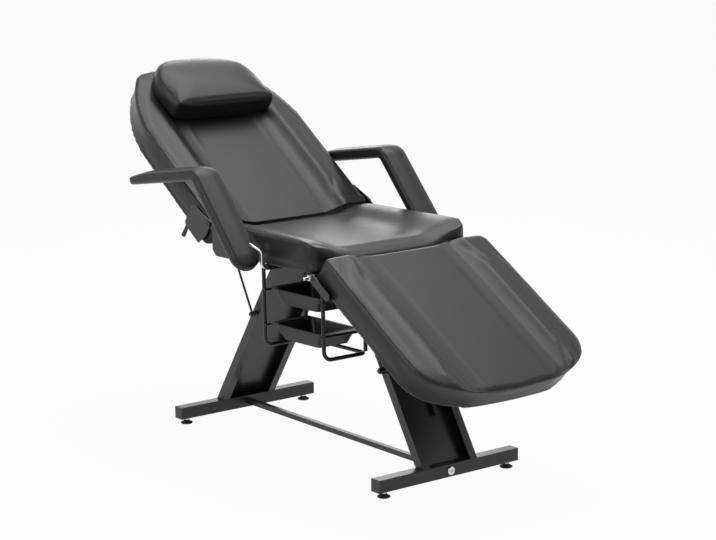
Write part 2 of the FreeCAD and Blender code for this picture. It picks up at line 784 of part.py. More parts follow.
def levelling_foot(x, y):
    """Flared foot pad moulded round a threaded stud."""
    profile = [
        V(0, 0, 0),
        V(foot_radius - foot_edge / 2, 0, 0),
        V(foot_radius, 0, foot_edge / 2),
        V(foot_radius, 0, foot_edge),
        V(foot_neck_radius, 0, foot_pad_height - foot_neck_height),
        V(foot_neck_radius, 0, foot_pad_height),
        V(stud_radius, 0, foot_pad_height),
        V(stud_radius, 0, foot_height + stud_rise),
        V(0, 0, foot_height + stud_rise),
        V(0, 0, 0),
    ]
    solid = Part.Face(Part.makePolygon(profile)).revolve(ORIGIN, AXIS_Z, FULL_TURN)
    return moved(solid, V(x, y, 0))


def foot_stud(pin):
    """Shouldered stud welded to a leg's near flange: a boss, the pin through a strut's eye, and a head."""
    inner = pin.y + strut_eye_length / 2 + side_gap
    boss = cross_rod(pin.x, pin.z, (inner, -leg_width / 2), strut_boss_radius)
    outer = pin.y - strut_eye_length / 2 - side_gap
    shank = cross_rod(pin.x, pin.z, (outer, -leg_width / 2), strut_pin_radius)
    head = cross_rod(pin.x, pin.z, (outer - pin_head_height, outer), strut_pin_radius + pin_head_height / 2)
    return boss.fuse([shank, head]).removeSplitter()


def telescopic_rod(low, high, reach, radius):
    """Rod with an eye at its lower end, pointing at the upper pin."""
    way = high.sub(low).normalize()
    half = strut_eye_length / 2
    eye = cross_rod(low.x, low.z, (low.y - half, low.y + half), strut_eye_radius)
    bar = rod(low, low.add(V(way).multiply(reach)), radius)
    bore = cross_rod(low.x, low.z, (low.y - half - overrun, low.y + half + overrun),
                     strut_pin_radius + running_gap)
    return eye.fuse(bar).cut(bore)


def telescopic_tube(low, high, reach, radius, wall):
    """Tube with a closed head and an eye at its upper end, its mouth towards the lower pin."""
    way = low.sub(high).normalize()
    half = strut_eye_length / 2
    eye = cross_rod(high.x, high.z, (high.y - half, high.y + half), strut_eye_radius)
    neck = rod(high, high.add(V(way).multiply(strut_neck + wall)), half)
    shell_start = high.add(V(way).multiply(strut_neck))
    mouth = high.add(V(way).multiply(reach))
    shell = rod(shell_start, mouth, radius)
    hollow_start = high.add(V(way).multiply(strut_neck + wall * 2))
    hollow = rod(hollow_start, mouth.add(V(way).multiply(overrun)), radius - wall)
    pin_bore = cross_rod(high.x, high.z, (high.y - half - overrun, high.y + half + overrun),
                         strut_pin_radius + running_gap)
    return eye.fuse([neck, shell]).cut([hollow, pin_bore])


def strut_parts():
    """The backrest's gas strut and the leg rest's stay, each a rod in a tube."""
    return {
        "strut_rod": telescopic_rod(strut_foot, strut_head, strut_rod_reach, strut_rod_radius),
        "strut_cylinder": telescopic_tube(strut_foot, strut_head, strut_tube_reach,
                                          strut_tube_radius, strut_tube_wall),
        "stay_bar": telescopic_rod(stay_foot, stay_head, stay_bar_reach, stay_bar_radius),
        "stay_tube": telescopic_tube(stay_foot, stay_head, stay_tube_reach,
                                     stay_tube_radius, stay_tube_wall),
    }


def head_bracket(pin, place, level, across, hung):
    """Fork that carries a strut's upper pin: two cheeks and the pin between them.

    Its cheeks are hung under a cross bar, or else stand out from the side of the block under the bar.
    """
    pin_x, pin_z = pin
    half_eye = strut_eye_length / 2 + side_gap
    half = cross_bar_width / 2
    if hung:
        outline = [(pin_x - strut_eye_radius, pin_z), (pin_x + strut_eye_radius, pin_z),
                   (place + half, level), (place - half, level)]
    else:
        wall_x = place - half
        outline = [(pin_x, pin_z - strut_eye_radius), (pin_x, pin_z + strut_eye_radius),
                   (wall_x, level), (wall_x, level - tube_size)]
    pieces = []
    for side in (-1, 1):
        y_range = sorted((across + side * half_eye, across + side * (half_eye + bracket_plate)))
        pieces.append(cross_rod(pin_x, pin_z, y_range, strut_eye_radius))
        pieces.append(side_plate(outline, y_range))
    reach = half_eye + bracket_plate
    shank = cross_rod(pin_x, pin_z, (across - reach, across + reach), strut_pin_radius)
    return shank.fuse(pieces).removeSplitter()


def seat_frame_parts(screws, leg_bolts):
    """Seat rails, cross bars, armrest sockets, hinge brackets and hinge pins."""
    rails = frame_rails((rail_start, rail_end), frame_top, rail_offset)
    rails = [rail.cut(screws + leg_bolts) for rail in rails]
    side = tube_size / 2
    bars = cross_bars(rear_plate_place + cross_bar_width / 2, frame_top, rail_offset, 0)
    bars += cross_bars(tray_bar_place, frame_top, rail_offset, tray_rod_near + tray_rod_radius)
    bars += cross_bars(front_bar_place, frame_top, rail_offset, plate_inner)
    half = arm_tube_size / 2
    socket = tube((arm_tube_place - half, arm_tube_place + half), (rail_offset + side, arm_socket_end),
                  (frame_top - arm_tube_size, frame_top), arm_tube_wall, 1)
    seat_side = (plate_inner, plate_inner + hinge_plate)
    back_pin = (seat_rear - back_hinge_gap, 0)
    leg_pin = (seat_front + leg_hinge_gap, frame_top - leg_hinge_drop)
    start = rear_plate_place
    end = start + rear_plate_length
    low = frame_top - hinge_plate
    outline = [(back_pin[0] - hinge_lug_radius, 0), (start, -hinge_lug_radius * 2),
               (start, low + rear_plate_chamfer), (start + rear_plate_chamfer, low), (end, low),
               (end, low / 2), (back_pin[0], hinge_lug_radius)]
    back_plate = hinge_bracket(back_pin, outline, seat_side, (start + rear_plate_chamfer, end), frame_top,
                               rail_offset + side, hinge_pin_radius)
    foot = front_bar_place - cross_bar_width / 2
    top = frame_top
    low = frame_top - cross_bar_thickness
    outline = [(foot, low), (leg_pin[0], leg_pin[1] - hinge_lug_radius),
               (leg_pin[0], leg_pin[1] + hinge_lug_radius), (leg_pin[0] - hinge_lug_radius, top),
               (foot, top)]
    leg_lug = cross_rod(leg_pin[0], leg_pin[1], seat_side, hinge_lug_radius)
    leg_plate = side_plate(outline, seat_side).fuse(leg_lug)
    leg_plate = leg_plate.removeSplitter().cut(
        cross_rod(leg_pin[0], leg_pin[1], (plate_inner - overrun, plate_outer), hinge_pin_radius))
    head_face = plate_outer + side_gap / 2
    rivet = cross_rod(back_pin[0], back_pin[1], (plate_inner, head_face), hinge_pin_radius)
    head_range = (head_face, head_face + rivet_head_height)
    rivet_head = cross_rod(back_pin[0], back_pin[1], head_range, rivet_head_radius)
    bolt = cross_rod(leg_pin[0], leg_pin[1], (plate_inner, plate_outer + leg_bolt_stand), hinge_pin_radius)
    nut_at = V(leg_pin[0], plate_outer + side_gap, leg_pin[1])
    nut = hexagon(nut_at, AXIS_Y, hinge_nut_radius, hinge_nut_height)
    return {
        "seat_rails": in_seat(group(rails)),
        "seat_cross_bars": in_seat(group(bars)),
        "arm_sockets": in_seat(group(both_sides(socket))),
        "back_hinge_brackets": in_seat(group(both_sides(back_plate))),
        "leg_hinge_lugs": in_seat(group(both_sides(leg_plate))),
        "back_hinge_rivets": in_seat(group(both_sides(rivet.fuse(rivet_head)))),
        "leg_hinge_bolts": in_seat(group(both_sides(bolt.fuse(nut)))),
    }


def dish_trough(length, half, rise, dish, rim, floor, rim_end, shares):
    """Solid that hollows a cushion: open at its near end, its rim ending rim_end before the far end."""
    lift = crown_height
    spread = (floor - rim) * lift / dish
    crest = slab_outline(-length, length - rim_end + spread, half - rim + spread, rise + lift, shares)
    low = slab_outline(-length, length - rim_end - (floor - rim), half - floor, rise - dish, shares)
    return Part.makeLoft([crest, low], True, True)


def slab_parts(start_of, length, end_draw, width, thickness, rise, trough, shares, screw_places, rail):
    """Cushion, board and screws of the backrest or the leg rest, in its own frame.

    start_of(level) is where the cushion's end lies at each level.
    """
    half = width / 2

    def outline(inset, level):
        end = length - inset - end_draw * (rise - level) / thickness
        return slab_outline(start_of(level), end, half - inset, level, shares)

    pad = cushion(outline, thickness, rise)
    level = rise - thickness
    wire = slab_outline(start_of(level) + board_inset, length - board_inset - end_draw,
                        half - board_inset, level, shares)
    board = Part.Face(wire).extrude(V(0, 0, board_thickness))
    screws = []
    for x in screw_places:
        screws.extend(both_sides(board_screw(x, rail, level)))
    return pad.cut([trough, board]), board.cut(screws), screws


def back_trough():
    """Solid that hollows the backrest's face."""
    return dish_trough(back_length + back_end_gap, back_width / 2, back_face_rise, back_dish,
                       back_rim, back_floor, back_rim, back_outline_shares)


def back_parts():
    """Backrest cushion, board, frame, hinge plates and strut bracket."""
    half = tube_size / 2
    level = back_board_level

    def start_of(height):
        drop = (back_face_rise - height) / back_thickness
        return back_end_gap - back_end_flare * min(1, drop / back_flare_share)

    rail_end_place = back_last_bar + half
    span = rail_end_place - back_rail_start
    places = (back_rail_start + span * screw_share, back_rail_start + span / 2,
              rail_end_place - span * screw_share)
    pad, board, screws = slab_parts(start_of, back_length + back_end_gap, 0, back_width, back_thickness,
                                    back_face_rise, back_trough(), back_outline_shares, places,
                                    back_rail_offset)
    bottom_corner = Part.makeCylinder(back_end_flare, back_width * 2, V(0, -back_width, 0), AXIS_Y)
    corner_x = start_of(level)
    tool = block((corner_x - overrun, corner_x + back_end_flare), (-back_width, back_width),
                 (level - overrun, level + back_end_flare))
    tool = tool.cut(moved(bottom_corner, V(corner_x + back_end_flare, 0, level + back_end_flare)))
    pad = pad.cut(tool)
    rails = frame_rails((back_rail_start, rail_end_place), level, back_rail_offset)
    rails = [rail.cut(screws) for rail in rails]
    bars = []
    for place in (back_rail_start + cross_bar_width / 2, back_middle_bar, back_last_bar):
        bars += cross_bars(place, level, back_rail_offset, 0)
    bar_half = cross_bar_width / 2
    bars.append(block((back_middle_bar - bar_half, back_middle_bar + bar_half),
                      (strut_offset - half, strut_offset + half),
                      (level - tube_size, level - cross_bar_thickness)))
    low = level - hinge_plate
    corner = strap_corner
    outline = [(-back_strap_start, 0), (-back_strap_start, low / 2), (corner, low),
               (back_strap_length - corner, low), (back_strap_length, low + corner),
               (back_strap_length, -corner * 2), (back_strap_length - corner, -corner),
               (0, hinge_lug_radius)]
    strap = hinge_bracket((0, 0), outline, (plate_middle, plate_outer),
                          (corner * 2, back_strap_length - corner), level, back_rail_offset + half,
                          hinge_pin_radius + running_gap)
    fork = head_bracket((strut_head_along, -strut_head_depth), back_middle_bar, level, strut_offset, False)
    return {
        "back_cushion": in_back(pad),
        "back_board": in_back(board),
        "back_screws": in_back(group(screws)),
        "back_rails": in_back(group(rails)),
        "back_cross_bars": in_back(group(bars)),
        "back_hinge_straps": in_back(group(both_sides(strap))),
        "strut_upper_fork": in_back(fork),
    }


def leg_rest_parts():
    """Leg rest cushion, board, frame, hinge plates and stay bracket."""
    half = tube_size / 2
    level = leg_board_level

    def start_of(_):
        return 0

    rail_end_place = leg_last_bar + half
    span = rail_end_place - leg_rail_start
    places = (leg_rail_start + span * screw_share * 2, rail_end_place - span * screw_share)
    trough = dish_trough(leg_rest_length, leg_rest_width / 2, leg_face_rise, leg_rest_dish,
                         leg_rim, leg_floor, -leg_dish_runout, leg_outline_shares)
    pad, board, screws = slab_parts(start_of, leg_rest_length, leg_end_draw, leg_rest_width,
                                    leg_rest_thickness, leg_face_rise, trough, leg_outline_shares, places,
                                    back_rail_offset)
    tool = block((-overrun, leg_end_corner), (-leg_rest_width, leg_rest_width),
                 (level - overrun, level + leg_end_corner))
    round_bar = Part.makeCylinder(leg_end_corner, leg_rest_width * 2, V(0, -leg_rest_width, 0), AXIS_Y)
    pad = pad.cut(tool.cut(moved(round_bar, V(leg_end_corner, 0, level + leg_end_corner))))
    rails = frame_rails((leg_rail_start, rail_end_place), level, back_rail_offset)
    rails = [rail.cut(screws) for rail in rails]
    bars = []
    for place in (leg_first_bar, leg_middle_bar, leg_last_bar):
        bars += cross_bars(place, level, back_rail_offset, 0)
    low = level - hinge_plate
    corner = strap_corner
    outline = [(-hinge_lug_radius, 0), (0, -hinge_lug_radius), (corner, low),
               (leg_strap_length - corner, low), (leg_strap_length, low + corner),
               (leg_strap_length, leg_strap_rise - corner), (leg_strap_length - corner, leg_strap_rise),
               (0, hinge_lug_radius)]
    strap = hinge_bracket((0, 0), outline, (plate_middle, plate_outer),
                          (corner * 2, leg_strap_length - corner), level, back_rail_offset + half,
                          hinge_pin_radius + running_gap)
    fork = head_bracket((stay_head_along, -stay_head_depth), leg_first_bar, level - cross_bar_thickness,
                        -strut_offset, True)
    return {
        "leg_cushion": in_leg_rest(pad),
        "leg_board": in_leg_rest(board),
        "leg_screws": in_leg_rest(group(screws)),
        "leg_rails": in_leg_rest(group(rails)),
        "leg_cross_bars": in_leg_rest(group(bars)),
        "leg_hinge_straps": in_leg_rest(group(both_sides(strap))),
        "stay_upper_fork": in_leg_rest(fork),
    }


def lever_parts():
    """Release lever: a cross rod in two ears under the backrest, a crank and a turned-down grip."""
    x, z = lever_along, -lever_depth
    level = back_board_level
    foot = z - lever_drop
    grip_end = foot - lever_grip_length
    rod_end = V(x, lever_outer, grip_end + lever_cap_length / 2)
    points = [V(x, lever_inner, z), V(x, lever_outer, z), rod_end]
    bar = bent_rod(points, [lever_corner], lever_rod_radius)
    crank = side_plate([(x - lever_rod_radius, z), (x + lever_rod_radius, z),
                        (x + lever_rod_radius, z - lever_crank), (x - lever_rod_radius, z - lever_crank)],
                       (lever_inner, lever_inner + bracket_plate))
    collar = cross_rod(x, z, (lever_inner, lever_inner + bracket_plate), lever_collar_radius)
    bar = bar.fuse([crank, collar])
    grip = Part.makeCone(lever_rod_radius + bracket_plate / 2, lever_grip_radius,
                         lever_grip_length - lever_cap_length, V(x, lever_outer, foot), V(0, 0, -1))
    grip = grip.cut(bar)
    cap = Part.makeCylinder(lever_grip_radius, lever_cap_length, V(x, lever_outer, grip_end))
    rim = [edge for edge in cap.Edges if abs(edge.CenterOfMass.z - grip_end) < lever_cap_length / 4]
    cap = cap.makeFillet(lever_cap_edge, rim[:1]).cut(bar)
    half = lever_ear_width / 2
    foot_plate = block((x - half, x + half), (lever_ear_inner, lever_ear_outer),
                       (level - bracket_plate, level))
    ears = []
    for y_range in ((lever_ear_inner, lever_ear_inner + bracket_plate),
                    (lever_ear_outer - bracket_plate, lever_ear_outer)):
        ears.append(block((x - half, x + half), y_range, (z - lever_collar_radius, level - bracket_plate)))
    bracket = foot_plate.fuse(ears).removeSplitter()
    bracket = bracket.cut(cross_rod(x, z, (lever_ear_inner - overrun, lever_ear_outer + overrun),
                                    lever_rod_radius + running_gap))
    return {
        "lever_rod": in_back(bar),
        "lever_grip": in_back(grip),
        "lever_cap": in_back(cap),
        "lever_bracket": in_back(bracket),
    }


def arm_section(origin, along, square):
    """Closed outline of the arm pad's cross section: rounded corners and a crowned top."""
    half_w = arm_width / 2
    half_t = arm_thickness / 2
    flat_w = half_w - arm_edge
    corner = arm_edge * CORNER_SHARE

    def at(y, n):
        return origin.add(V(0, y, 0)).add(V(square).multiply(n))

    side_top = half_t - arm_edge
    points = {
        "bl": at(-flat_w, -half_t), "br": at(flat_w, -half_t),
        "rb": at(half_w, -side_top), "rt": at(half_w, side_top),
        "tr": at(flat_w, half_t - arm_crown), "tl": at(-flat_w, half_t - arm_crown),
        "lt": at(-half_w, side_top), "lb": at(-half_w, -side_top),
    }
    edges = [
        line(points["bl"], points["br"]),
        arc(points["br"], at(half_w - corner, -half_t + corner), points["rb"]),
        line(points["rb"], points["rt"]),
        arc(points["rt"], at(half_w - corner, half_t - arm_crown / 2 - corner), points["tr"]),
        arc(points["tr"], at(0, half_t), points["tl"]),
        arc(points["tl"], at(-half_w + corner, half_t - arm_crown / 2 - corner), points["lt"]),
        line(points["lt"], points["lb"]),
        arc(points["lb"], at(-half_w + corner, -half_t + corner), points["bl"]),
    ]
    return Part.Face(Part.Wire(edges))


def arm_bar(radius_in, section_of, half_width, ends):
    """A bar of one cross section along the armrest's bent line, with its ends rounded if asked.

    section_of(origin, along, square) gives the cross section's face.
    """
    middle_y = -(arm_inner + arm_width / 2)
    tip = V(arm_tip[0], middle_y, seat_top_height + arm_tip[1])
    elbow = V(arm_elbow[0], middle_y, seat_top_height + arm_elbow[1])
    foot = V(arm_foot[0], middle_y, seat_top_height + arm_foot[1])
    first = elbow.sub(tip).normalize()
    second = foot.sub(elbow).normalize()
    turn = first.getAngle(second)
    reach = radius_in * math.tan(turn / 2)
    bend_start = elbow.sub(V(first).multiply(reach))
    bend_end = elbow.add(V(second).multiply(reach))
    square_first = V(-first.z, 0, first.x)
    square_second = V(-second.z, 0, second.x)
    start = tip.add(V(first).multiply(half_width if ends else arm_core_setback))
    end = foot.sub(V(second).multiply(half_width if ends else arm_core_setback))
    rear = section_of(start, first, square_first).extrude(bend_start.sub(start))
    centre = bend_start.sub(V(square_first).multiply(radius_in))
    bend = section_of(bend_start, first, square_first)
    bend = bend.revolve(centre, AXIS_Y, math.degrees(turn))
    front = section_of(bend_end, second, square_second).extrude(end.sub(bend_end))
    pieces = [bend, front]
    if ends:
        reach = back_length + leg_rest_length
        keep = block((-reach, reach), (middle_y, middle_y + arm_width), (0, reach))
        for place, heading, square, sweep in ((start, first, square_first, HALF_TURN),
                                              (end, second, square_second, -HALF_TURN)):
            half_face = section_of(place, heading, square).common(keep)
            pieces.append(half_face.revolve(place, square, sweep))
    return rear.fuse(pieces).removeSplitter()


def arm_core_section(origin, along, square):
    """Flat bar section of the steel core inside an arm pad."""
    half_w = arm_core_width / 2
    half_t = arm_core_thickness / 2
    points = []
    for y, n in ((-half_w, -half_t), (half_w, -half_t), (half_w, half_t), (-half_w, half_t)):
        points.append(origin.add(V(0, y, 0)).add(V(square).multiply(n)))
    points.append(points[0])
    return Part.Face(Part.makePolygon(points))


def arm_parts():
    """Both armrests: pad, steel core and the bent rod that plugs into the seat frame."""
    pad = arm_bar(arm_elbow_radius, arm_section, arm_width / 2, True)
    core = arm_bar(arm_elbow_radius, arm_core_section, 0, False)
    socket = seat_point(arm_tube_place, 0, frame_top - arm_tube_size / 2)
    entry = V(arm_rod_entry[0], -(arm_inner + arm_width / 2), seat_top_height + arm_rod_entry[1])
    points = [
        V(socket.x, -(arm_socket_end - arm_rod_engagement), socket.z),
        V(socket.x, -arm_rod_out, socket.z),
        V(socket.x, -arm_rod_out, seat_top_height + arm_rod_top),
        entry,
    ]
    bar = bent_rod(points, [arm_rod_corner, arm_rod_corner], arm_rod_radius)
    core = core.cut(bar)
    pad = pad.cut(core).cut(bar)
    near = {"armrest_pad_near": pad, "armrest_core_near": core, "armrest_rod_near": bar}
    far = {name.replace("near", "far"): mirrored(shape) for name, shape in near.items()}
    return {**near, **far}


def tray_frame_parts():
    """Bent rod that hangs the trays, its two far hangers and the four runners."""
    top = frame_top - cross_bar_thickness
    low = -tray_rod_bottom
    front = tray_front_rod
    rear = tray_bar_place
    points = [
        V(front, -tray_rod_near, top),
        V(front, -tray_rod_near, low),
        V(front, -tray_rod_far, low),
        V(rear, -tray_rod_far, low),
        V(rear, -tray_rod_near, low),
        V(rear, -tray_rod_near, top),
    ]
    bends = [tray_hanger_corner, tray_rod_corner, tray_rod_corner, tray_hanger_corner]
    loop = bent_rod(points, bends, tray_rod_radius)
    pieces = []
    for inner, place in ((-1, front), (1, rear)):
        runner_x = place + inner * runner_inset
        hanger_low = V(place, -tray_rod_far, low + tray_rod_radius)
        hanger_high = V(place, -tray_rod_far, frame_bottom)
        pieces.append(rod(hanger_low, hanger_high, tray_rod_radius))
        for rim in (tray_upper_rim, tray_lower_rim):
            z = -rim - tray_sheet - runner_radius
            y_range = (-tray_rod_near - tray_rod_radius, -tray_rod_far)
            pieces.append(cross_rod(runner_x, z, y_range, runner_radius))
    return loop, pieces


def tray(rim_level):
    """Pressed tray: a flanged rim, tapered walls and a flat floor."""
    front = tray_front_rod - tray_rod_radius - tray_gap
    rear = tray_bar_place + tray_rod_radius + tray_gap
    near = -(tray_rod_near - tray_lip)
    far = -(tray_rod_far - tray_far_gap)
    middle_y = (near + far) / 2
    half_y = (far - near) / 2
    top = -rim_level
    low = top - tray_depth

    def ring(inset_x, inset_y, level):
        wire = box_outline(rear + inset_x, front - inset_x, half_y - inset_y,
                           tray_corner, tray_corner, level)
        return moved(wire, V(0, middle_y, 0))

    flange = Part.Face(ring(0, 0, top - tray_sheet)).extrude(V(0, 0, tray_sheet))
    end_foot = tray_flange + tray_end_taper
    side_foot = tray_lip + tray_side_taper
    wall = tray_sheet
    outer = Part.makeLoft([ring(tray_flange, tray_lip, top), ring(end_foot, side_foot, low)], True, True)
    inner = Part.makeLoft([ring(tray_flange + wall, tray_lip + wall, top + wall),
                           ring(end_foot + wall, side_foot + wall, low + wall)], True, True)
    return flange.fuse(outer).removeSplitter().cut(inner)


def tray_parts():
    """Both trays and the frame that carries them."""
    loop, runners = tray_frame_parts()
    return {
        "tray_frame_rod": in_seat(loop),
        "tray_runners": in_seat(group(runners)),
        "upper_tray": in_seat(tray(tray_upper_rim)),
        "lower_tray": in_seat(tray(tray_lower_rim)),
    }


def pillow_outline(inset, level):
    """Outline of the pillow at one level: a straight front, straight sides and a rounded back."""
    start = pillow_start + inset
    length = pillow_length - inset * 2
    half = pillow_width / 2 - inset
    corner = pillow_corner
    diagonal = corner * CORNER_SHARE

    def at(share, side):
        return V(start + length * share[0], half * share[1] * side + pillow_skew * share[0], level)

    side_end, shoulder, corner_start, corner_middle, corner_end = pillow_outline_shares
    tip = V(start + length, pillow_skew, level)
    edges = [line(V(start, half - corner, level), V(start, -half + corner, level))]
    edges.append(arc(V(start, -half + corner, level), V(start + diagonal, -half + diagonal, level),
                     V(start + corner, -half, level)))
    edges.append(line(V(start + corner, -half, level), at(side_end, -1)))
    edges.append(arc(at(side_end, -1), at(shoulder, -1), at(corner_start, -1)))
    edges.append(arc(at(corner_start, -1), at(corner_middle, -1), at(corner_end, -1)))
    edges.append(arc(at(corner_end, -1), tip, at(corner_end, 1)))
    edges.append(arc(at(corner_end, 1), at(corner_middle, 1), at(corner_start, 1)))
    edges.append(arc(at(corner_start, 1), at(shoulder, 1), at(side_end, 1)))
    edges.append(line(at(side_end, 1), V(start + corner, half, level)))
    edges.append(arc(V(start + corner, half, level), V(start + diagonal, half - diagonal, level),
                     V(start, half - corner, level)))
    return Part.Wire(edges)


def across_form(start, low):
    """Long form with the pillow's cross section: upright sides that round over into a low crown."""
    half = pillow_width / 2 + pillow_side_stand
    face = back_face_rise
    bend = pillow_side_round
    diagonal = bend * CORNER_SHARE
    side_top = face + pillow_side_height

    def at(y, z):
        return V(start, y, z)

    edges = [
        line(at(-half, low), at(-half, side_top)),
        arc(at(-half, side_top), at(-half + diagonal, side_top + bend - diagonal),
            at(-half + bend, side_top + bend)),
        arc(at(-half + bend, side_top + bend), at(0, face + pillow_height + overrun),
            at(half - bend, side_top + bend)),
        arc(at(half - bend, side_top + bend), at(half - diagonal, side_top + bend - diagonal),
            at(half, side_top)),
        line(at(half, side_top), at(half, low)),
        line(at(half, low), at(-half, low)),
    ]
    reach = pillow_length + back_width
    return Part.Face(Part.Wire(edges)).extrude(V(reach, pillow_skew * reach / pillow_length, 0))


def head_pillow():
    """Head pillow: a half-moon block under a crowned top, with its base shaped to the backrest's dish."""
    face = back_face_rise
    start = pillow_start
    end = start + pillow_length
    levels = ((pillow_bulge, face - pillow_sink), (0, face + pillow_waist),
              (pillow_bulge, face + pillow_height))
    sections = [pillow_outline(inset, level) for inset, level in levels]
    block_form = Part.makeLoft(sections, True, False)
    half = back_width
    low = face - pillow_sink - overrun
    front_top = V(start + pillow_bulge / 2, -half, face + pillow_front_height - pillow_edge)
    over = V(start + pillow_edge, -half, face + pillow_front_height)
    corner = pillow_edge * CORNER_SHARE
    turn = V(start + corner, -half, face + pillow_front_height - corner)
    crown = V(start + pillow_crown_place, -half, face + pillow_height)
    rear = V(end + overrun, -half, face + pillow_rear_height)
    outline = [
        line(V(start - overrun, -half, low), V(start - overrun, -half, front_top.z)),
        line(V(start - overrun, -half, front_top.z), front_top),
        arc(front_top, turn, over),
        arc(over, crown, rear),
        line(rear, V(rear.x, -half, low)),
        line(V(rear.x, -half, low), V(start - overrun, -half, low)),
    ]
    top = Part.Face(Part.Wire(outline)).extrude(V(0, half * 2, 0))
    pillow = moved(block_form.common(top).common(across_form(start - overrun, low)), V(0, -pillow_shift, 0))
    slab = block((-back_length, back_length * 2), (-back_width, back_width),
                 (face - back_thickness, face)).cut(back_trough())
    return pillow.cut(moved(slab, V(0, 0, seating_gap)))


def build():
    """All nodes by name, in the chair's working frame."""
    parts, leg_bolts = base_parts()
    seat, screws = seat_parts()
    parts.update(seat)
    parts.update(seat_frame_parts(screws, leg_bolts))
    parts.update(back_parts())
    parts.update(leg_rest_parts())
    parts.update(lever_parts())
    parts.update(strut_parts())
    parts.update(arm_parts())
    parts.update(tray_parts())
    parts["head_pillow"] = in_back(head_pillow())
    return parts


def middle_shift(parts):
    """X of the middle of the whole chair's bounding box."""
    low = min(shape.optimalBoundingBox(True, False).XMin for shape in parts.values())
    high = max(shape.optimalBoundingBox(True, False).XMax for shape in parts.values())
    return (low + high) / 2


def main():
    """Build every node, centre the chair on its origin and write one STEP file for each node."""
    os.makedirs("parts", exist_ok=True)
    parts = build()
    shift = V(-middle_shift(parts), 0, 0)
    for name, shape in sorted(parts.items()):
        placed = moved(shape, shift)
        assert placed.isValid(), name
        placed.exportStep(f"parts/{name}.step")
        print(f"{name}: {len(placed.Solids)} solids, {placed.Volume / CUBIC_MM_PER_CUBIC_CM:.1f} cm3")
    print(f"shift {shift.x:.3f}, {len(parts)} nodes")


if __name__ == "__main__":
    main()
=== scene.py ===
"""Tattoo chair: upholstery, seams, finishes, floor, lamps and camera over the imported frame.

Lengths are metres and angles degrees. +X points to the foot end, +Z up, the trays are on the -Y side,
and the floor is at zero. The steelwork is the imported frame's own; the stuffed pieces are made here.
"""
import json
import logging
import math
from dataclasses import dataclass, field
from enum import Enum

import bmesh
import bpy
import numpy as np
from bpy.types import Material, Mesh, Node, NodeSocket, NodeTree, Object
from mathutils import Matrix, Vector
from mathutils.bvhtree import BVHTree


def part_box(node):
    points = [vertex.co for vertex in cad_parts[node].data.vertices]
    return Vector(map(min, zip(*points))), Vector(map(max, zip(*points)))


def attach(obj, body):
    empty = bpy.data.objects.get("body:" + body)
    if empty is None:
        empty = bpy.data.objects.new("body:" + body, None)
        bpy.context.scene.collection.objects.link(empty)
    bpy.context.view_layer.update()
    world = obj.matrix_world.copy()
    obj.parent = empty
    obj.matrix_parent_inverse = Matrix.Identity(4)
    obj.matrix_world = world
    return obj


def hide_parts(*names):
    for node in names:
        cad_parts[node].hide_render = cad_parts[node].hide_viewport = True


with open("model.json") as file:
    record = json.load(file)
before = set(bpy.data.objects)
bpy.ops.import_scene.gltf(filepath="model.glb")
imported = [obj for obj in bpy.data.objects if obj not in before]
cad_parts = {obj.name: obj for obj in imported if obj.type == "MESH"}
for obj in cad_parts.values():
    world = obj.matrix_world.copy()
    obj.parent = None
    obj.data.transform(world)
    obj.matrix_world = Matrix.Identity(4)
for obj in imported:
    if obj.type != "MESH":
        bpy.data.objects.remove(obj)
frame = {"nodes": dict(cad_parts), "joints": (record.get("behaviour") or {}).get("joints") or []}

Array = np.ndarray
LOG = logging.getLogger("tattoo_chair")
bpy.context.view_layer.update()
MILLIMETRE = 0.001
FINE_WELD = MILLIMETRE / 50
SKIN_WELD = MILLIMETRE / 20
QUARTER = math.pi / 2
FULL_TURN = 2 * math.pi
PHOTO_WIDTH = 716.0
SENSOR_WIDTH = 36.0
LONG_POINTS = 60
SHOULDER_POINTS = 40
CORNER_POINTS = 20
FLAT_POINTS = 7
EDGE_POINTS = 6
FLANK_POINTS = 4
SEAM_NEIGHBOURS = 2
SKIN_ROUNDS = 3
LAST_ROUNDS = 2
BOARD_REACH = 0.02
FACE_TURN = (0.5, 0.9)
EDGE_TURN = (0.1, 0.4)
SEAM_TURN = 0.6
SQUARE_TURN = 0.15
SQUARE_SHARE = 1.5
FREED = (0.02, 0.12)
FADE = 0.08
MOTTLE_SCALE = 9.0
FINE_SCALE = 60.0
FINE_SHARE = 0.35
CLOTH = {"quality": 5, "mass": 0.3, "tension_stiffness": 15.0, "compression_stiffness": 15.0,
         "shear_stiffness": 8.0, "bending_stiffness": 1.0, "use_pressure": True}


class Slot(Enum):
    """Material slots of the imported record."""

    VINYL = "vinyl"
    BOARD = "board"
    FRAME_PAINT = "frame_paint"
    BLACK_PAINT = "black_paint"
    BRIGHT_STEEL = "bright_steel"
    TRAY_PAINT = "tray_paint"
    BLACK_PLASTIC = "black_plastic"
    FOOT_RUBBER = "foot_rubber"


class Side(Enum):
    """The two sides of the chair, by the sign of Y."""

    NEAR = -1.0
    FAR = 1.0


@dataclass(frozen=True)
class Finish:
    """One finish: its tone and how it takes the light.

    Args:
        slot: the record's slot that it belongs to.
        tone: linear base colour.
        roughness, gloss_spread: middle of the gloss map, and how far it wanders.
        metallic, specular: one for bare metal, and level of the plain reflection.
        grain_scale, grain_depth: the grain's marks for each metre, and its height in metres.
        mottle: how far the tone wanders.
    """

    slot: Slot
    tone: tuple[float, float, float]
    roughness: float
    metallic: float = 0.0
    specular: float = 0.5
    grain_scale: float = 600.0
    grain_depth: float = 0.00004
    mottle: float = 0.08
    gloss_spread: float = 0.05


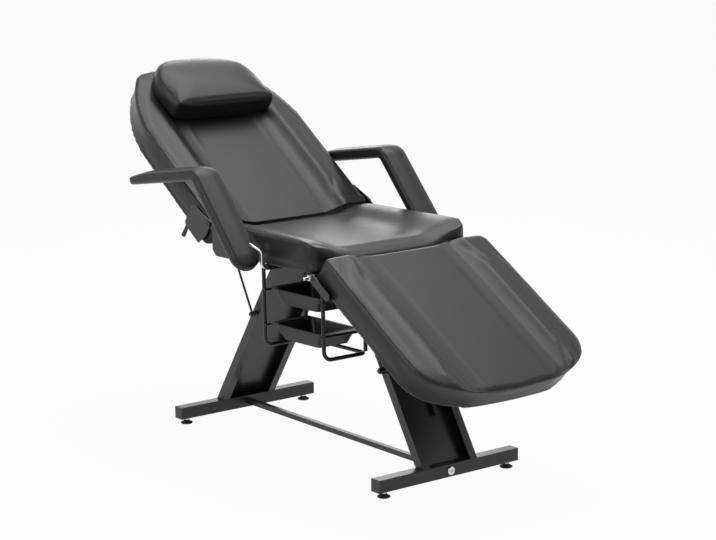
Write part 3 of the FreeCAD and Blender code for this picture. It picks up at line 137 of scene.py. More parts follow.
FINISHES = (
    Finish(Slot.VINYL, (0.019, 0.019, 0.020), 0.35, specular=0.25, grain_scale=520.0,
           grain_depth=0.00010, mottle=0.10, gloss_spread=0.07),
    Finish(Slot.BOARD, (0.09, 0.08, 0.07), 0.75, grain_scale=90.0, grain_depth=0.0002, mottle=0.25),
    Finish(Slot.FRAME_PAINT, (0.022, 0.022, 0.023), 0.32, specular=0.42, grain_scale=900.0, mottle=0.05),
    Finish(Slot.BLACK_PAINT, (0.014, 0.014, 0.015), 0.32, specular=0.3, grain_scale=900.0),
    Finish(Slot.BRIGHT_STEEL, (0.62, 0.62, 0.63), 0.24, metallic=1.0, grain_scale=700.0,
           grain_depth=0.00002, gloss_spread=0.08),
    Finish(Slot.TRAY_PAINT, (0.014, 0.014, 0.015), 0.38, specular=0.28, grain_scale=800.0, mottle=0.06),
    Finish(Slot.BLACK_PLASTIC, (0.02, 0.02, 0.021), 0.45, grain_scale=700.0, mottle=0.05),
    Finish(Slot.FOOT_RUBBER, (0.02, 0.02, 0.02), 0.7, grain_scale=400.0, mottle=0.12),
)


def feed(node: Node, sources: dict) -> None:
    """Give a node's inputs their values, or link the outputs that feed them.

    Args:
        node: the node.
        sources: a value or an output for each input, by its name or place.
    """
    for key, source in sources.items():
        if isinstance(source, NodeSocket):
            node.id_data.links.new(source, node.inputs[key])
        else:
            node.inputs[key].default_value = source


def add_node(tree: NodeTree, kind: str, **sources: object) -> Node:
    """Add a node and feed it.

    Args:
        tree: where it goes.
        kind: its type, after ShaderNode.
        sources: a value or an output for each named input.
    """
    node = tree.nodes.new(f"ShaderNode{kind}")
    feed(node, sources)
    return node


def math_node(tree: NodeTree, operation: str, *terms: object) -> NodeSocket:
    """Add a Math node and return its output.

    Args:
        tree: where it goes.
        operation: the node's operation.
        terms: a value or an output for each input.
    """
    node = add_node(tree, "Math")
    node.operation = operation
    feed(node, dict(enumerate(terms)))
    return node.outputs[0]


def start_group(name: str, inputs: tuple, outputs: tuple) -> tuple[NodeTree, Node, Node]:
    """Start a group with its named sockets. Tone and Color are colours, the rest are values.

    Args:
        name: the group's name.
        inputs: names of its inputs.
        outputs: names of its outputs.

    Returns:
        The group, its input node and its output node.
    """
    tree = bpy.data.node_groups.new(name, "ShaderNodeTree")
    for in_out, keys in (("INPUT", inputs), ("OUTPUT", outputs)):
        for key in keys:
            kind = "NodeSocketColor" if key in ("Tone", "Color") else "NodeSocketFloat"
            tree.interface.new_socket(name=key, in_out=in_out, socket_type=kind)
    return tree, tree.nodes.new("NodeGroupInput"), tree.nodes.new("NodeGroupOutput")


def wear_group() -> NodeTree:
    """Tone and gloss that wander slowly over a surface.

    Returns:
        A group with inputs Tone, Mottle, Roughness, Spread and outputs Color, Roughness.
    """
    tree, inward, outward = start_group("surface_wear", ("Tone", "Mottle", "Roughness", "Spread"),
                                        ("Color", "Roughness"))
    place = add_node(tree, "TexCoord").outputs["Object"]
    broad = add_node(tree, "TexNoise", Vector=place, Scale=MOTTLE_SCALE)
    fine = add_node(tree, "TexNoise", Vector=place, Scale=FINE_SCALE)
    both = math_node(tree, "MULTIPLY_ADD", fine.outputs["Fac"], FINE_SHARE, broad.outputs["Fac"])
    centred = math_node(tree, "SUBTRACT", both, (1 + FINE_SHARE) / 2)
    amount = math_node(tree, "MULTIPLY", centred, inward.outputs["Mottle"])
    shade = add_node(tree, "VectorMath")
    shade.operation = "SCALE"
    feed(shade, {0: inward.outputs["Tone"], "Scale": math_node(tree, "MULTIPLY_ADD", amount, 2.0, 1.0)})
    spread = math_node(tree, "MULTIPLY", centred, inward.outputs["Spread"])
    gloss = math_node(tree, "MULTIPLY_ADD", spread, 2.0, inward.outputs["Roughness"])
    feed(outward, {"Color": shade.outputs[0], "Roughness": gloss})
    return tree


def grain_group() -> NodeTree:
    """Fine pebbled or sprayed grain.

    Returns:
        A group with inputs Scale, Depth and output Height in metres.
    """
    tree, inward, outward = start_group("surface_grain", ("Scale", "Depth"), ("Height",))
    place, scale = add_node(tree, "TexCoord").outputs["Object"], inward.outputs["Scale"]
    cells = add_node(tree, "TexVoronoi", Vector=place, Scale=scale)
    noise = add_node(tree, "TexNoise", Vector=place, Scale=scale)
    both = math_node(tree, "ADD", cells.outputs["Distance"], noise.outputs["Fac"])
    feed(outward, {"Height": math_node(tree, "MULTIPLY", both, inward.outputs["Depth"])})
    return tree


class Workshop:
    """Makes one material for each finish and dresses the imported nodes."""

    def __init__(self) -> None:
        """Build the shared groups and every material."""
        self.wear, self.grain = wear_group(), grain_group()
        self.materials = {finish.slot: self._material(finish) for finish in FINISHES}

    def _material(self, finish: Finish) -> Material:
        """A Principled material whose tone, gloss and bump come from the shared groups.

        Args:
            finish: the values to use.
        """
        material = bpy.data.materials.new(f"chair_{finish.slot.value}")
        material.use_nodes = True
        tree = material.node_tree
        wear, grain = add_node(tree, "Group"), add_node(tree, "Group")
        wear.node_tree, grain.node_tree = self.wear, self.grain
        feed(wear, {"Tone": (*finish.tone, 1.0), "Mottle": finish.mottle,
                    "Roughness": finish.roughness, "Spread": finish.gloss_spread})
        feed(grain, {"Scale": finish.grain_scale, "Depth": finish.grain_depth})
        bump = add_node(tree, "Bump", Distance=1.0, Height=grain.outputs["Height"])
        feed(tree.nodes["Principled BSDF"],
             {"Metallic": finish.metallic, "Specular IOR Level": finish.specular,
              "Base Color": wear.outputs["Color"], "Roughness": wear.outputs["Roughness"],
              "Normal": bump.outputs["Normal"]})
        material.diffuse_color = (*finish.tone, 1.0)
        return material

    def dress_nodes(self) -> None:
        """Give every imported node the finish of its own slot."""
        known = {slot.value for slot in Slot}
        for name, node in frame["nodes"].items():
            for holder in node.material_slots:
                key = holder.material.name.split(".")[0] if holder.material else ""
                if key in known:
                    holder.material = self.materials[Slot(key)]
                else:
                    LOG.warning("node %s has an unknown finish %s", name, key)
        LOG.info("dressed %d nodes", len(frame["nodes"]))


@dataclass(frozen=True)
class LocalFrame:
    """A working frame on one section of the chair.

    Args:
        origin: where it stands in the chair's frame.
        along, across, out: directions of its X, Y and Z.
    """

    origin: Array
    along: Array
    across: Array
    out: Array

    def to_chair(self, points: Array) -> Array:
        """Points of this frame in the chair's frame."""
        return self.origin + points @ np.stack([self.along, self.across, self.out])

    def to_local(self, points: Array) -> Array:
        """Points of the chair's frame in this frame."""
        return (points - self.origin) @ np.stack([self.along, self.across, self.out]).T


def tilted_frame(origin: tuple[float, float, float], angle: float, facing: float) -> LocalFrame:
    """Right-handed frame whose X leaves the horizontal by an angle.

    Args:
        origin: its place.
        angle: degrees that its X rises.
        facing: 1 if its X points to the foot end, -1 if it points to the head end.
    """
    rise = math.radians(angle)
    along = np.array([facing * math.cos(rise), 0.0, math.sin(rise)])
    across = np.array([0.0, facing, 0.0])
    return LocalFrame(np.array(origin), along, across, np.cross(along, across))


def add_object(name: str, data: object) -> Object:
    """Object with some data, linked to the scene.

    Args:
        name: its name.
        data: its mesh, lamp or camera.
    """
    made = bpy.data.objects.new(name, data)
    bpy.context.scene.collection.objects.link(made)
    return made


def weld(mesh: Mesh, distance: float) -> None:
    """Join the points of a mesh that lie close together, and turn its faces outwards.

    Args:
        mesh: the mesh to change.
        distance: how close.
    """
    work = bmesh.new()
    work.from_mesh(mesh)
    bmesh.ops.remove_doubles(work, verts=work.verts, dist=distance)
    bmesh.ops.recalc_face_normals(work, faces=work.faces)
    work.to_mesh(mesh)
    work.free()


def make_object(name: str, points: Array, faces: list) -> Object:
    """Smooth-shaded object from arrays, with its faces turned outwards.

    Args:
        name: the piece's name.
        points: N by 3 coordinates.
        faces: point numbers of each face.
    """
    mesh = bpy.data.meshes.new(name)
    mesh.from_pydata(points.tolist(), [], faces)
    weld(mesh, FINE_WELD)
    mesh.shade_smooth()
    return add_object(name, mesh)


def ring_quads(rings: int, columns: int, closed: bool = False) -> list:
    """Quads between rings of points stored ring by ring.

    Args:
        rings: number of rings.
        columns: points in each ring.
        closed: whether the last ring joins the first.

    Returns:
        Quads by point number.
    """
    index = np.arange(rings * columns).reshape(rings, columns)
    if closed:
        index = np.vstack([index, index[:1]])
    beside = np.roll(index, -1, axis=1)
    return np.stack([index[:-1], beside[:-1], beside[1:], index[1:]], axis=-1).reshape(-1, 4).tolist()


def swept_cord(name: str, path: Array, upright: Array, radius: float, closed: bool = False,
               sides: int = 8) -> Object:
    """Round sewn cord along a path.

    Each ring is centre + radius (cos a * side + sin a * up), where side is the path's heading
    crossed with the upright direction and up completes the frame.

    Args:
        name: the piece's name.
        path: N by 3 points in the chair's frame.
        upright: direction that is never parallel to the path.
        radius: the cord's radius.
        closed: whether the path is a loop.
        sides: points around the cord.

    Returns:
        The object, with its ends closed if the path is open.
    """
    if closed:
        heading = np.roll(path, -1, axis=0) - np.roll(path, 1, axis=0)
    else:
        heading = np.gradient(path, axis=0)
    heading /= np.linalg.norm(heading, axis=1, keepdims=True)
    side = np.cross(heading, upright)
    side /= np.linalg.norm(side, axis=1, keepdims=True)
    up = np.cross(side, heading)
    angle = np.linspace(0, FULL_TURN, sides, endpoint=False)
    ring = side[:, None] * np.cos(angle)[None, :, None] + up[:, None] * np.sin(angle)[None, :, None]
    points = (path[:, None] + radius * ring).reshape(-1, 3)
    quads = ring_quads(len(path), sides, closed)
    if not closed:
        quads += [list(range(sides)), list(range(len(points) - sides, len(points)))]
    return make_object(name, points, quads)


def arc_through(start: Array, middle: Array, end: Array, count: int) -> Array:
    """Evenly spaced points of the arc through three plane points, without its last point.

    The points turn about the place where the two chords' perpendicular bisectors meet.

    Args:
        start: first point.
        middle: a point between.
        end: last point.
        count: how many points to return.

    Returns:
        count by 2 points.
    """
    chords = 2 * np.array([middle - start, end - start])
    sums = np.array([middle @ middle - start @ start, end @ end - start @ start])
    centre = np.linalg.solve(chords, sums)
    spokes = np.array([start, middle, end]) - centre
    first, _, last = np.unwrap(np.arctan2(spokes[:, 1], spokes[:, 0]))
    angle = np.linspace(first, last, count, endpoint=False)
    return centre + np.linalg.norm(spokes[0]) * np.stack([np.cos(angle), np.sin(angle)], axis=1)


def straight(start: Array, end: Array, count: int) -> Array:
    """Evenly spaced points from start towards end, without the end itself."""
    return start + (end - start) * np.linspace(0, 1, count, endpoint=False)[:, None]


def slab_line(start: float, end: float, half: float, shares: tuple) -> Array:
    """Plan outline of a cushion with straight sides and a rounded far end of five arcs.

    One side runs straight, then over two arcs to the end's own arc. The other side mirrors it.

    Args:
        start: where the sides begin, along the section.
        end: where the far end lies.
        half: half the width.
        shares: the five places of the rounded end, as shares of the end and of the half width.

    Returns:
        Points from the start's -Y corner round the far end to its +Y corner.
    """
    side_end, shoulder, corner_start, corner_middle, corner_end = np.array(shares) * [end, -half]
    mirror = np.array([1.0, -1.0])
    side = np.concatenate([straight(np.array([start, -half]), side_end, LONG_POINTS),
                           arc_through(side_end, shoulder, corner_start, SHOULDER_POINTS),
                           arc_through(corner_start, corner_middle, corner_end, CORNER_POINTS),
                           corner_end[None]])
    tip = arc_through(corner_end, np.array([end, 0.0]), corner_end * mirror, LONG_POINTS)
    return np.concatenate([side, tip[1:], side[::-1] * mirror])


def ramp(value: Array, low: float, high: float) -> Array:
    """0 below low, 1 above high and even between; low may be above high."""
    return np.clip((value - low) / (high - low), 0.0, 1.0)


def read(items: object, key: str) -> Array:
    """A vector of each of a mesh's items, by its name, as an N by 3 array."""
    flat = np.empty(len(items) * 3)
    items.foreach_get(key, flat)
    return flat.reshape(-1, 3)


def read_points(mesh: Mesh) -> Array:
    """Coordinates of a mesh as an N by 3 array."""
    return read(mesh.vertices, "co")


def read_normals(mesh: Mesh) -> Array:
    """Point normals of a mesh as an N by 3 array."""
    return read(mesh.vertex_normals, "vector")


def write_points(mesh: Mesh, points: Array) -> None:
    """Put an N by 3 array into a mesh."""
    mesh.vertices.foreach_set("co", points.ravel())
    mesh.update()


@dataclass
class Stuffing:
    """How a stuffed piece is filled.

    Args:
        voxel, draw_in: remesh size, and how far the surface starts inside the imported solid.
        pressure, frames: cloth pressure, and how many steps it acts.
        cap: how far a point may move.
        seam_hold: how close to a seam a point is held.
    """

    voxel: float = 0.0065
    draw_in: float = 0.0010
    pressure: float = 4.0
    cap: float = 0.0035
    seam_hold: float = 0.009
    fill: float = 0.9
    frames: int = 12


@dataclass
class StuffedPiece:
    """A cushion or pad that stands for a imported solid.

    Args:
        name: the piece's name.
        node, body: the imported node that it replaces, and the body that it rides on.
        stuffing: how it is filled.
        workshop: where its material comes from.
    """

    name: str
    node: str
    body: str
    stuffing: Stuffing
    workshop: Workshop

    def skin(self, place: LocalFrame) -> tuple[Object, Array]:
        """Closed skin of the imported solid, of even quads, drawn in a little along its normals.

        Args:
            place: the working frame that its points are wanted in.

        Returns:
            The object, and its points in that frame.
        """
        mesh = frame["nodes"][self.node].data.copy()
        mesh.name = self.name
        weld(mesh, SKIN_WELD)
        mesh.materials.clear()
        piece = add_object(self.name, mesh)
        remesh = piece.modifiers.new("even", "REMESH")
        remesh.mode = "VOXEL"
        remesh.voxel_size = self.stuffing.voxel
        remesh.use_smooth_shade = True
        self._soften(piece, SKIN_ROUNDS)
        self._apply(piece)
        drawn = read_points(piece.data) - read_normals(piece.data) * self.stuffing.draw_in
        write_points(piece.data, drawn)
        return piece, place.to_local(read_points(piece.data))

    @staticmethod
    def _soften(piece: Object, rounds: int) -> None:
        """Add a smoothing that moves each point half way to its neighbours, so many times."""
        soften = piece.modifiers.new("soften", "SMOOTH")
        soften.factor, soften.iterations = 0.5, rounds

    @staticmethod
    def _apply(piece: Object) -> None:
        """Replace a piece's mesh by its mesh with all modifiers applied."""
        depsgraph = bpy.context.evaluated_depsgraph_get()
        made = bpy.data.meshes.new_from_object(piece.evaluated_get(depsgraph))
        made.name = piece.name
        old = piece.data
        piece.modifiers.clear()
        piece.data = made
        bpy.data.meshes.remove(old)

    def inflate(self, piece: Object, held: Array, freedom: Array | float = 1.0) -> None:
        """Fill a skin by cloth pressure and keep the capped result.

        Args:
            piece: the skin.
            held: for each point, whether the board or a seam holds it.
            freedom: for each point, the share of its capped move that is kept.
        """
        stuffing = self.stuffing
        before = read_points(piece.data)
        group = piece.vertex_groups.new(name="held")
        group.add(np.flatnonzero(held).tolist(), 1.0, "REPLACE")
        cloth = piece.modifiers.new("filling", "CLOTH")
        settings = cloth.settings
        for key, value in CLOTH.items():
            setattr(settings, key, value)
        settings.uniform_pressure_force = stuffing.pressure
        settings.effector_weights.gravity = 0.0
        settings.vertex_group_mass = group.name
        cloth.point_cache.frame_start = 1
        cloth.point_cache.frame_end = stuffing.frames
        scene = bpy.context.scene
        for step in range(1, stuffing.frames + 1):
            scene.frame_set(step)
        depsgraph = bpy.context.evaluated_depsgraph_get()
        after = read_points(piece.evaluated_get(depsgraph).data)
        piece.modifiers.remove(cloth)
        piece.vertex_groups.clear()
        scene.frame_set(1)
        move = after - before
        length = np.linalg.norm(move, axis=1, keepdims=True)
        move *= np.minimum(1.0, stuffing.cap / np.maximum(length, MILLIMETRE / 1000))
        write_points(piece.data, before + move * np.reshape(freedom, (-1, 1)))

    def finish(self, piece: Object) -> None:
        self._soften(piece, LAST_ROUNDS)
        finer = piece.modifiers.new("finer", "SUBSURF")
        finer.levels = finer.render_levels = 1
        self._apply(piece)
        piece.data.shade_smooth()
        dress(piece, self.body, self.workshop)
        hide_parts(self.node)


def relax(mesh: Mesh, weight: Array, rounds: int) -> None:
    """Round a mesh off where it is weighted.

    Each round moves every point half way, times its weight, to the mean of its neighbours.

    Args:
        mesh: the mesh to change.
        weight: from 0 to 1 for each point.
        rounds: how often.
    """
    edges = np.empty(len(mesh.edges) * 2, dtype=np.int64)
    mesh.edges.foreach_get("vertices", edges)
    pairs = edges.reshape(-1, 2)
    ends, others = np.concatenate([pairs, pairs[:, ::-1]]).T
    points = read_points(mesh)
    count = np.bincount(ends, minlength=len(points))[:, None]
    step = weight[:, None] / 2
    for _ in range(rounds):
        sums = [np.bincount(ends, points[others, axis], len(points)) for axis in range(3)]
        points = points + step * (np.stack(sums, axis=1) / count - points)
    write_points(mesh, points)


@dataclass(frozen=True)
class Hollow:
    """The hollow along a cushion's face, between two soft bolsters.

    Args:
        half: half the cushion's width.
        rim, floor: edge to the hollow's rim, and to its flat floor.
        depth: of the hollow.
        crest, crest_reach: height and reach of the low crest along the rim.
        crease, crease_reach: depth and reach of the crease along the foot of the bolster.
        crease_share: where the crease lies, as a share of the way from the rim to the floor.
    """

    half: float
    rim: float
    floor: float
    depth: float
    crest: float = 0.003
    crest_reach: float = 0.016
    crease: float = 0.0015
    crease_reach: float = 0.010
    crease_share: float = 0.4

    def fall(self, across: Array) -> Array:
        """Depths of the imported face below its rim, at distances from the middle plane."""
        inward = self.half - np.abs(across)
        return self.depth * np.clip((inward - self.rim) / (self.floor - self.rim), 0.0, 1.0)

    def change(self, across: Array) -> Array:
        """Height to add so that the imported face's planes meet as stuffed vinyl does.

        The even fall s becomes 1 - (1 - s) cubed, steep at the rim and level at the floor. The
        crest outside the rim and the crease inside it are bell-shaped.

        Args:
            across: distances from the middle plane.

        Returns:
            Heights.
        """
        inward = self.half - np.abs(across)
        share = self.fall(across) / self.depth
        step = 1 - (1 - share) ** 3
        crest = np.exp(-((inward - self.rim + self.crest_reach / 2) / self.crest_reach) ** 2)
        foot = self.rim + (self.floor - self.rim) * self.crease_share
        crease = np.exp(-((inward - foot) / self.crease_reach) ** 2)
        return self.depth * (share - step) + self.crest * crest - self.crease * crease


def laid_on(piece: Object, path: Array) -> Array:
    """Path moved to the closest places on a piece's surface and evened out.

    Each found place becomes the mean of itself and its two neighbours on either side.

    Args:
        piece: the finished piece.
        path: N by 3 points in the chair's frame.

    Returns:
        N by 3 points.
    """
    surface = BVHTree.FromObject(piece, bpy.context.evaluated_depsgraph_get())
    found = np.array([surface.find_nearest(Vector(point))[0] for point in path])
    padded = np.pad(found, ((SEAM_NEIGHBOURS, SEAM_NEIGHBOURS), (0, 0)), mode="edge")
    window = 2 * SEAM_NEIGHBOURS + 1
    return sum(padded[step:step + len(path)] for step in range(window)) / window


def dress(piece: Object, body: str, workshop: Workshop) -> None:
    """Give a finished piece its vinyl and its body.

    Args:
        piece: the piece.
        body: the body that it rides on.
        workshop: where its material comes from.
    """
    piece.data.materials.append(workshop.materials[Slot.VINYL])
    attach(piece, body)
    LOG.info("%s: %d faces on %s", piece.name, len(piece.data.polygons), body)


@dataclass
class Section:
    """The backrest or the leg rest: its sizes in its own frame.

    Args:
        name: what its pieces are called.
        node, body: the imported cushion, and the body that it rides on.
        place: its working frame.
        start, end: where its near and far ends lie.
        half, thickness: half its width, and its thickness.
        rise: level of its face.
        hollow, hollow_end: the hollow in its face, and where its soft form has died out.
        shares, runs_out: its rounded end, and whether the hollow runs out through it.
        crown, piping: how far the seam lies below the face, and its radius.
        near_roll, roll_rounds: size of the rounded near edge or zero, and how often it is relaxed.
        square_end, near_reach: how much of a square near end is brought up, and drawn out.
        stuffing: how it is filled.
    """

    name: str
    node: str
    body: str
    place: LocalFrame
    start: float
    end: float
    half: float
    rise: float
    thickness: float
    hollow: Hollow
    hollow_end: float
    shares: tuple
    runs_out: bool = False
    crown: float = 0.009
    piping: float = 0.0018
    near_roll: float = 0.030
    square_end: float = 0.025
    near_reach: float = 0.0
    roll_rounds: int = 25
    stuffing: Stuffing = field(default_factory=Stuffing)

    def build(self, workshop: Workshop) -> None:
        """Make the cushion and the piping round its top edge.

        Args:
            workshop: where materials come from.
        """
        piece = StuffedPiece(f"{self.name}_upholstery", self.node, self.body, self.stuffing, workshop)
        skin, local = piece.skin(self.place)
        if self.near_roll:
            near = ramp(local[:, 0], self.start + self.near_roll, self.start + self.near_roll / 2)
            upper = ramp(local[:, 2], self.rise - 2 * self.near_roll, self.rise - self.near_roll)
            relax(skin.data, near * upper, self.roll_rounds)
        self.shape_face(skin.data, local)
        freedom = ramp(local[:, 0] - self.start, *FREED)
        piece.inflate(skin, self.held(local, read_normals(skin.data) @ self.place.out), freedom)
        piece.finish(skin)
        line = laid_on(skin, self.place.to_chair(self.edge_line()))
        seam = swept_cord(f"{self.name}_piping", line, self.place.out, self.piping)
        dress(seam, self.body, workshop)

    def shape_face(self, mesh: Mesh, local: Array) -> None:
        """Give the face the hollow's soft form, and square up a near end that has no roll.

        Args:
            mesh: the skin.
            local: its points in the section's frame, before the near end was rounded.
        """
        facing = read_normals(mesh) @ self.place.out
        reach = ramp(local[:, 0], self.hollow_end, self.hollow_end - FADE)
        lift = self.hollow.change(local[:, 1]) * ramp(facing, *FACE_TURN) * reach
        square = self.start + self.square_end
        if not self.near_roll:
            missing = self.rise - self.hollow.fall(local[:, 1]) - local[:, 2]
            rolled = (missing < SQUARE_SHARE * self.crown) & (facing > SQUARE_TURN)
            lift += np.where(rolled & (local[:, 0] < square), np.maximum(missing, 0.0), 0.0)
        reach_out = self.near_reach * ramp(local[:, 0], square, self.start)
        moved = lift[:, None] * self.place.out - reach_out[:, None] * self.place.along
        write_points(mesh, read_points(mesh) + moved)

    def held(self, local: Array, facing: Array) -> Array:
        """Which points the board, the near end or the top seam holds.

        These are the underside, what is close to the near end, and the sides close to the seam.

        Args:
            local: points in the section's frame.
            facing: how far each point's normal turns to the face, from -1 to 1.

        Returns:
            True for each held point.
        """
        reach = self.stuffing.seam_hold
        low = local[:, 2] < self.rise - self.thickness + BOARD_REACH
        near_seam = np.abs(local[:, 2] - self.rise + self.crown) < reach
        near_end = local[:, 0] < self.start + 2 * reach
        return low | (near_seam & (facing < SEAM_TURN)) | near_end

    def edge_line(self) -> Array:
        """Line of the piping: along one side, round the far end and back along the other side.

        It lies a crown below the face, dips on a parabola at the near end, and follows the hollow where
        that runs out through the far end.

        Returns:
            Points in the section's frame.
        """
        plan = slab_line(self.start + self.near_roll / 3, self.end, self.half, self.shares)
        dip = self.near_roll / 4 * ramp(plan[:, 0], self.start + self.square_end, self.start) ** 2
        level = self.rise - self.crown - dip
        if self.runs_out:
            at_end = plan[:, 0] > self.end * self.shares[1][0]
            depth = np.maximum(self.crown, self.hollow.fall(plan[:, 1]) + self.piping)
            level = np.where(at_end, self.rise - depth, level)
        return np.column_stack([plan, level])


def joint_place(name: str) -> tuple[float, float, float]:
    """Where a joint's axis lies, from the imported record."""
    return tuple(next(joint for joint in frame["joints"] if joint["name"] == name)["pos_m"])


def half_width(node: str) -> float:
    """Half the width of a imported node."""
    low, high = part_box(node)
    return (high.y - low.y) / 2


@dataclass
class Seat:
    """The seat cushion, held at its board and along its side seams, and the two side seams.

    Args:
        workshop: where materials come from.
        place: its working frame, on its face over the base's middle.
        shift, half_length, thickness: its own middle along the frame, half its length, its thickness.
        crown, piping: how far the seams lie below the face, and their radius.
        roll_reach: how far behind the front edge its rounding starts and is full.
        roll_level: how far below the face that rounding starts and is full.
        face_inset: how far inside the sides the face's rounding starts and is full.
        rounds: how often the front edge and the face are relaxed.
        rear_lift, rear_reach: how far the rear edge is raised, and how far in front of it that starts.
        seam_reach: how close to a seam a point is held.
        seam_ends: how far the seams stay from the rear edge and from the front edge.
    """

    workshop: Workshop
    place: LocalFrame
    shift: float = 0.017
    half_length: float = 0.252
    thickness: float = 0.093
    crown: float = 0.009
    piping: float = 0.0022
    roll_reach: tuple[float, float] = (0.052, 0.040)
    roll_level: tuple[float, float] = (0.076, 0.060)
    face_inset: tuple[float, float] = (0.012, 0.035)
    rounds: int = 70
    rear_lift: float = 0.009
    rear_reach: float = 0.020
    seam_reach: float = 0.009
    seam_ends: tuple[float, float] = (0.012, 0.056)

    def build(self) -> None:
        """Make the cushion and its seams."""
        piece = StuffedPiece("seat_upholstery", "seat_cushion", "base_and_seat", Stuffing(), self.workshop)
        skin, local = piece.skin(self.place)
        half = half_width("seat_cushion")
        self.shape(skin.data, local, half)
        low = local[:, 2] < BOARD_REACH - self.thickness
        seam = ((np.abs(local[:, 2] + self.crown) < self.seam_reach)
                & (np.abs(local[:, 1]) > half - self.seam_reach))
        piece.inflate(skin, low | seam)
        piece.finish(skin)
        rear_end, front_end = self.seam_ends
        run = np.linspace(self.shift - self.half_length + rear_end,
                          self.shift + self.half_length - front_end, LONG_POINTS)
        for side in Side:
            line = np.stack([run, np.full(LONG_POINTS, side.value * half),
                             np.full(LONG_POINTS, -self.crown)], axis=1)
            cord = swept_cord(f"seat_seam_{side.name.lower()}", laid_on(skin, self.place.to_chair(line)),
                              self.place.out, self.piping)
            dress(cord, "base_and_seat", self.workshop)

    def shape(self, mesh: Mesh, local: Array, half: float) -> None:
        """Round the front edge and the face, and raise the rear edge on a parabola.

        Args:
            mesh: the skin.
            local: its points in the seat's frame.
            half: half the seat's width.
        """
        behind = self.shift + self.half_length - local[:, 0]
        relax(mesh, ramp(behind, *self.roll_reach) * ramp(-local[:, 2], *self.roll_level), self.rounds)
        inside = ramp(half - np.abs(local[:, 1]), *self.face_inset)
        facing = read_normals(mesh) @ self.place.out
        relax(mesh, inside * ramp(facing, *FACE_TURN), self.rounds)
        ahead = local[:, 0] - self.shift + self.half_length
        lift = self.rear_lift * ramp(ahead, self.rear_reach, 0.0) ** 2 * ramp(facing, *EDGE_TURN)
        write_points(mesh, read_points(mesh) + lift[:, None] * self.place.out)


@dataclass
class Pillow:
    """The head pillow, free everywhere but on its underside.

    Args:
        workshop: where materials come from.
        place: the backrest's working frame.
        front_reach: how far behind its front the rounding of its top starts and is full.
        top_level, rounds: the level where that starts and is full, and how often it is relaxed.
        held_level: points below it are held.
    """

    workshop: Workshop
    place: LocalFrame
    front_reach: tuple[float, float] = (0.018, 0.045)
    top_level: tuple[float, float] = (0.030, 0.045)
    rounds: int = 25
    held_level: float = 0.012

    def build(self) -> None:
        """Make the pillow: its top is rounded off and then filled by a light pressure."""
        stuffing = Stuffing(voxel=0.0045, cap=0.002, draw_in=0.0005, pressure=1.5)
        piece = StuffedPiece("pillow_upholstery", "head_pillow", "pillow", stuffing, self.workshop)
        skin, local = piece.skin(self.place)
        behind = local[:, 0] - local[:, 0].min()
        relax(skin.data, ramp(behind, *self.front_reach) * ramp(local[:, 2], *self.top_level), self.rounds)
        piece.inflate(skin, local[:, 2] < self.held_level)
        piece.finish(skin)


@dataclass
class Upholstery:
    """The backrest, leg rest and seat cushions with their piping, and the head pillow.

    Args:
        workshop: where materials come from.
        middle: X of the base's middle.
        recline, drop, tilt: degrees that the backrest rises to the head end, the leg rest falls to
            the foot end, and the seat rises to the foot end.
        seat_top: height of the seat's face over the base's middle.
        back_shares, leg_shares: the rounded ends of the backrest and the leg rest.
    """

    workshop: Workshop
    middle: float
    recline: float = 34.7
    drop: float = 31.0
    tilt: float = 1.4
    seat_top: float = 0.694
    back_shares: tuple = ((0.616, 1.0), (0.775, 0.905), (0.915, 0.735), (0.972, 0.62), (0.989, 0.465))
    leg_shares: tuple = ((0.757, 1.02), (0.857, 0.956), (0.915, 0.8355), (0.954, 0.688), (0.987, 0.497))

    def build(self) -> None:
        """Make every upholstered section."""
        back_frame = tilted_frame(joint_place("backrest_recline"), self.recline, -1.0)
        self.backrest(back_frame).build(self.workshop)
        self.leg_rest().build(self.workshop)
        Seat(self.workshop, tilted_frame((self.middle, 0.0, self.seat_top), self.tilt, 1.0)).build()
        Pillow(self.workshop, back_frame).build()

    def backrest(self, place: LocalFrame) -> Section:
        """The backrest's layout in its working frame."""
        half = half_width("back_cushion")
        return Section("backrest", "back_cushion", "backrest", place, start=0.0028, end=0.7028,
                       half=half, rise=0.0074, thickness=0.092,
                       hollow=Hollow(half, rim=0.092, floor=0.167, depth=0.022, crest=0.0015),
                       hollow_end=0.58, shares=self.back_shares, near_roll=0.0, near_reach=0.006)

    def leg_rest(self) -> Section:
        """The leg rest's layout. Its sides widen to the first of its shares."""
        place = tilted_frame(joint_place("leg_rest_lift"), -self.drop, 1.0)
        half = half_width("leg_cushion") / self.leg_shares[0][1]
        return Section("leg_rest", "leg_cushion", "leg_rest", place, start=0.0, end=0.608,
                       half=half, rise=0.080, thickness=0.091,
                       hollow=Hollow(half, rim=0.093, floor=0.183, depth=0.017),
                       hollow_end=0.75, shares=self.leg_shares, runs_out=True)


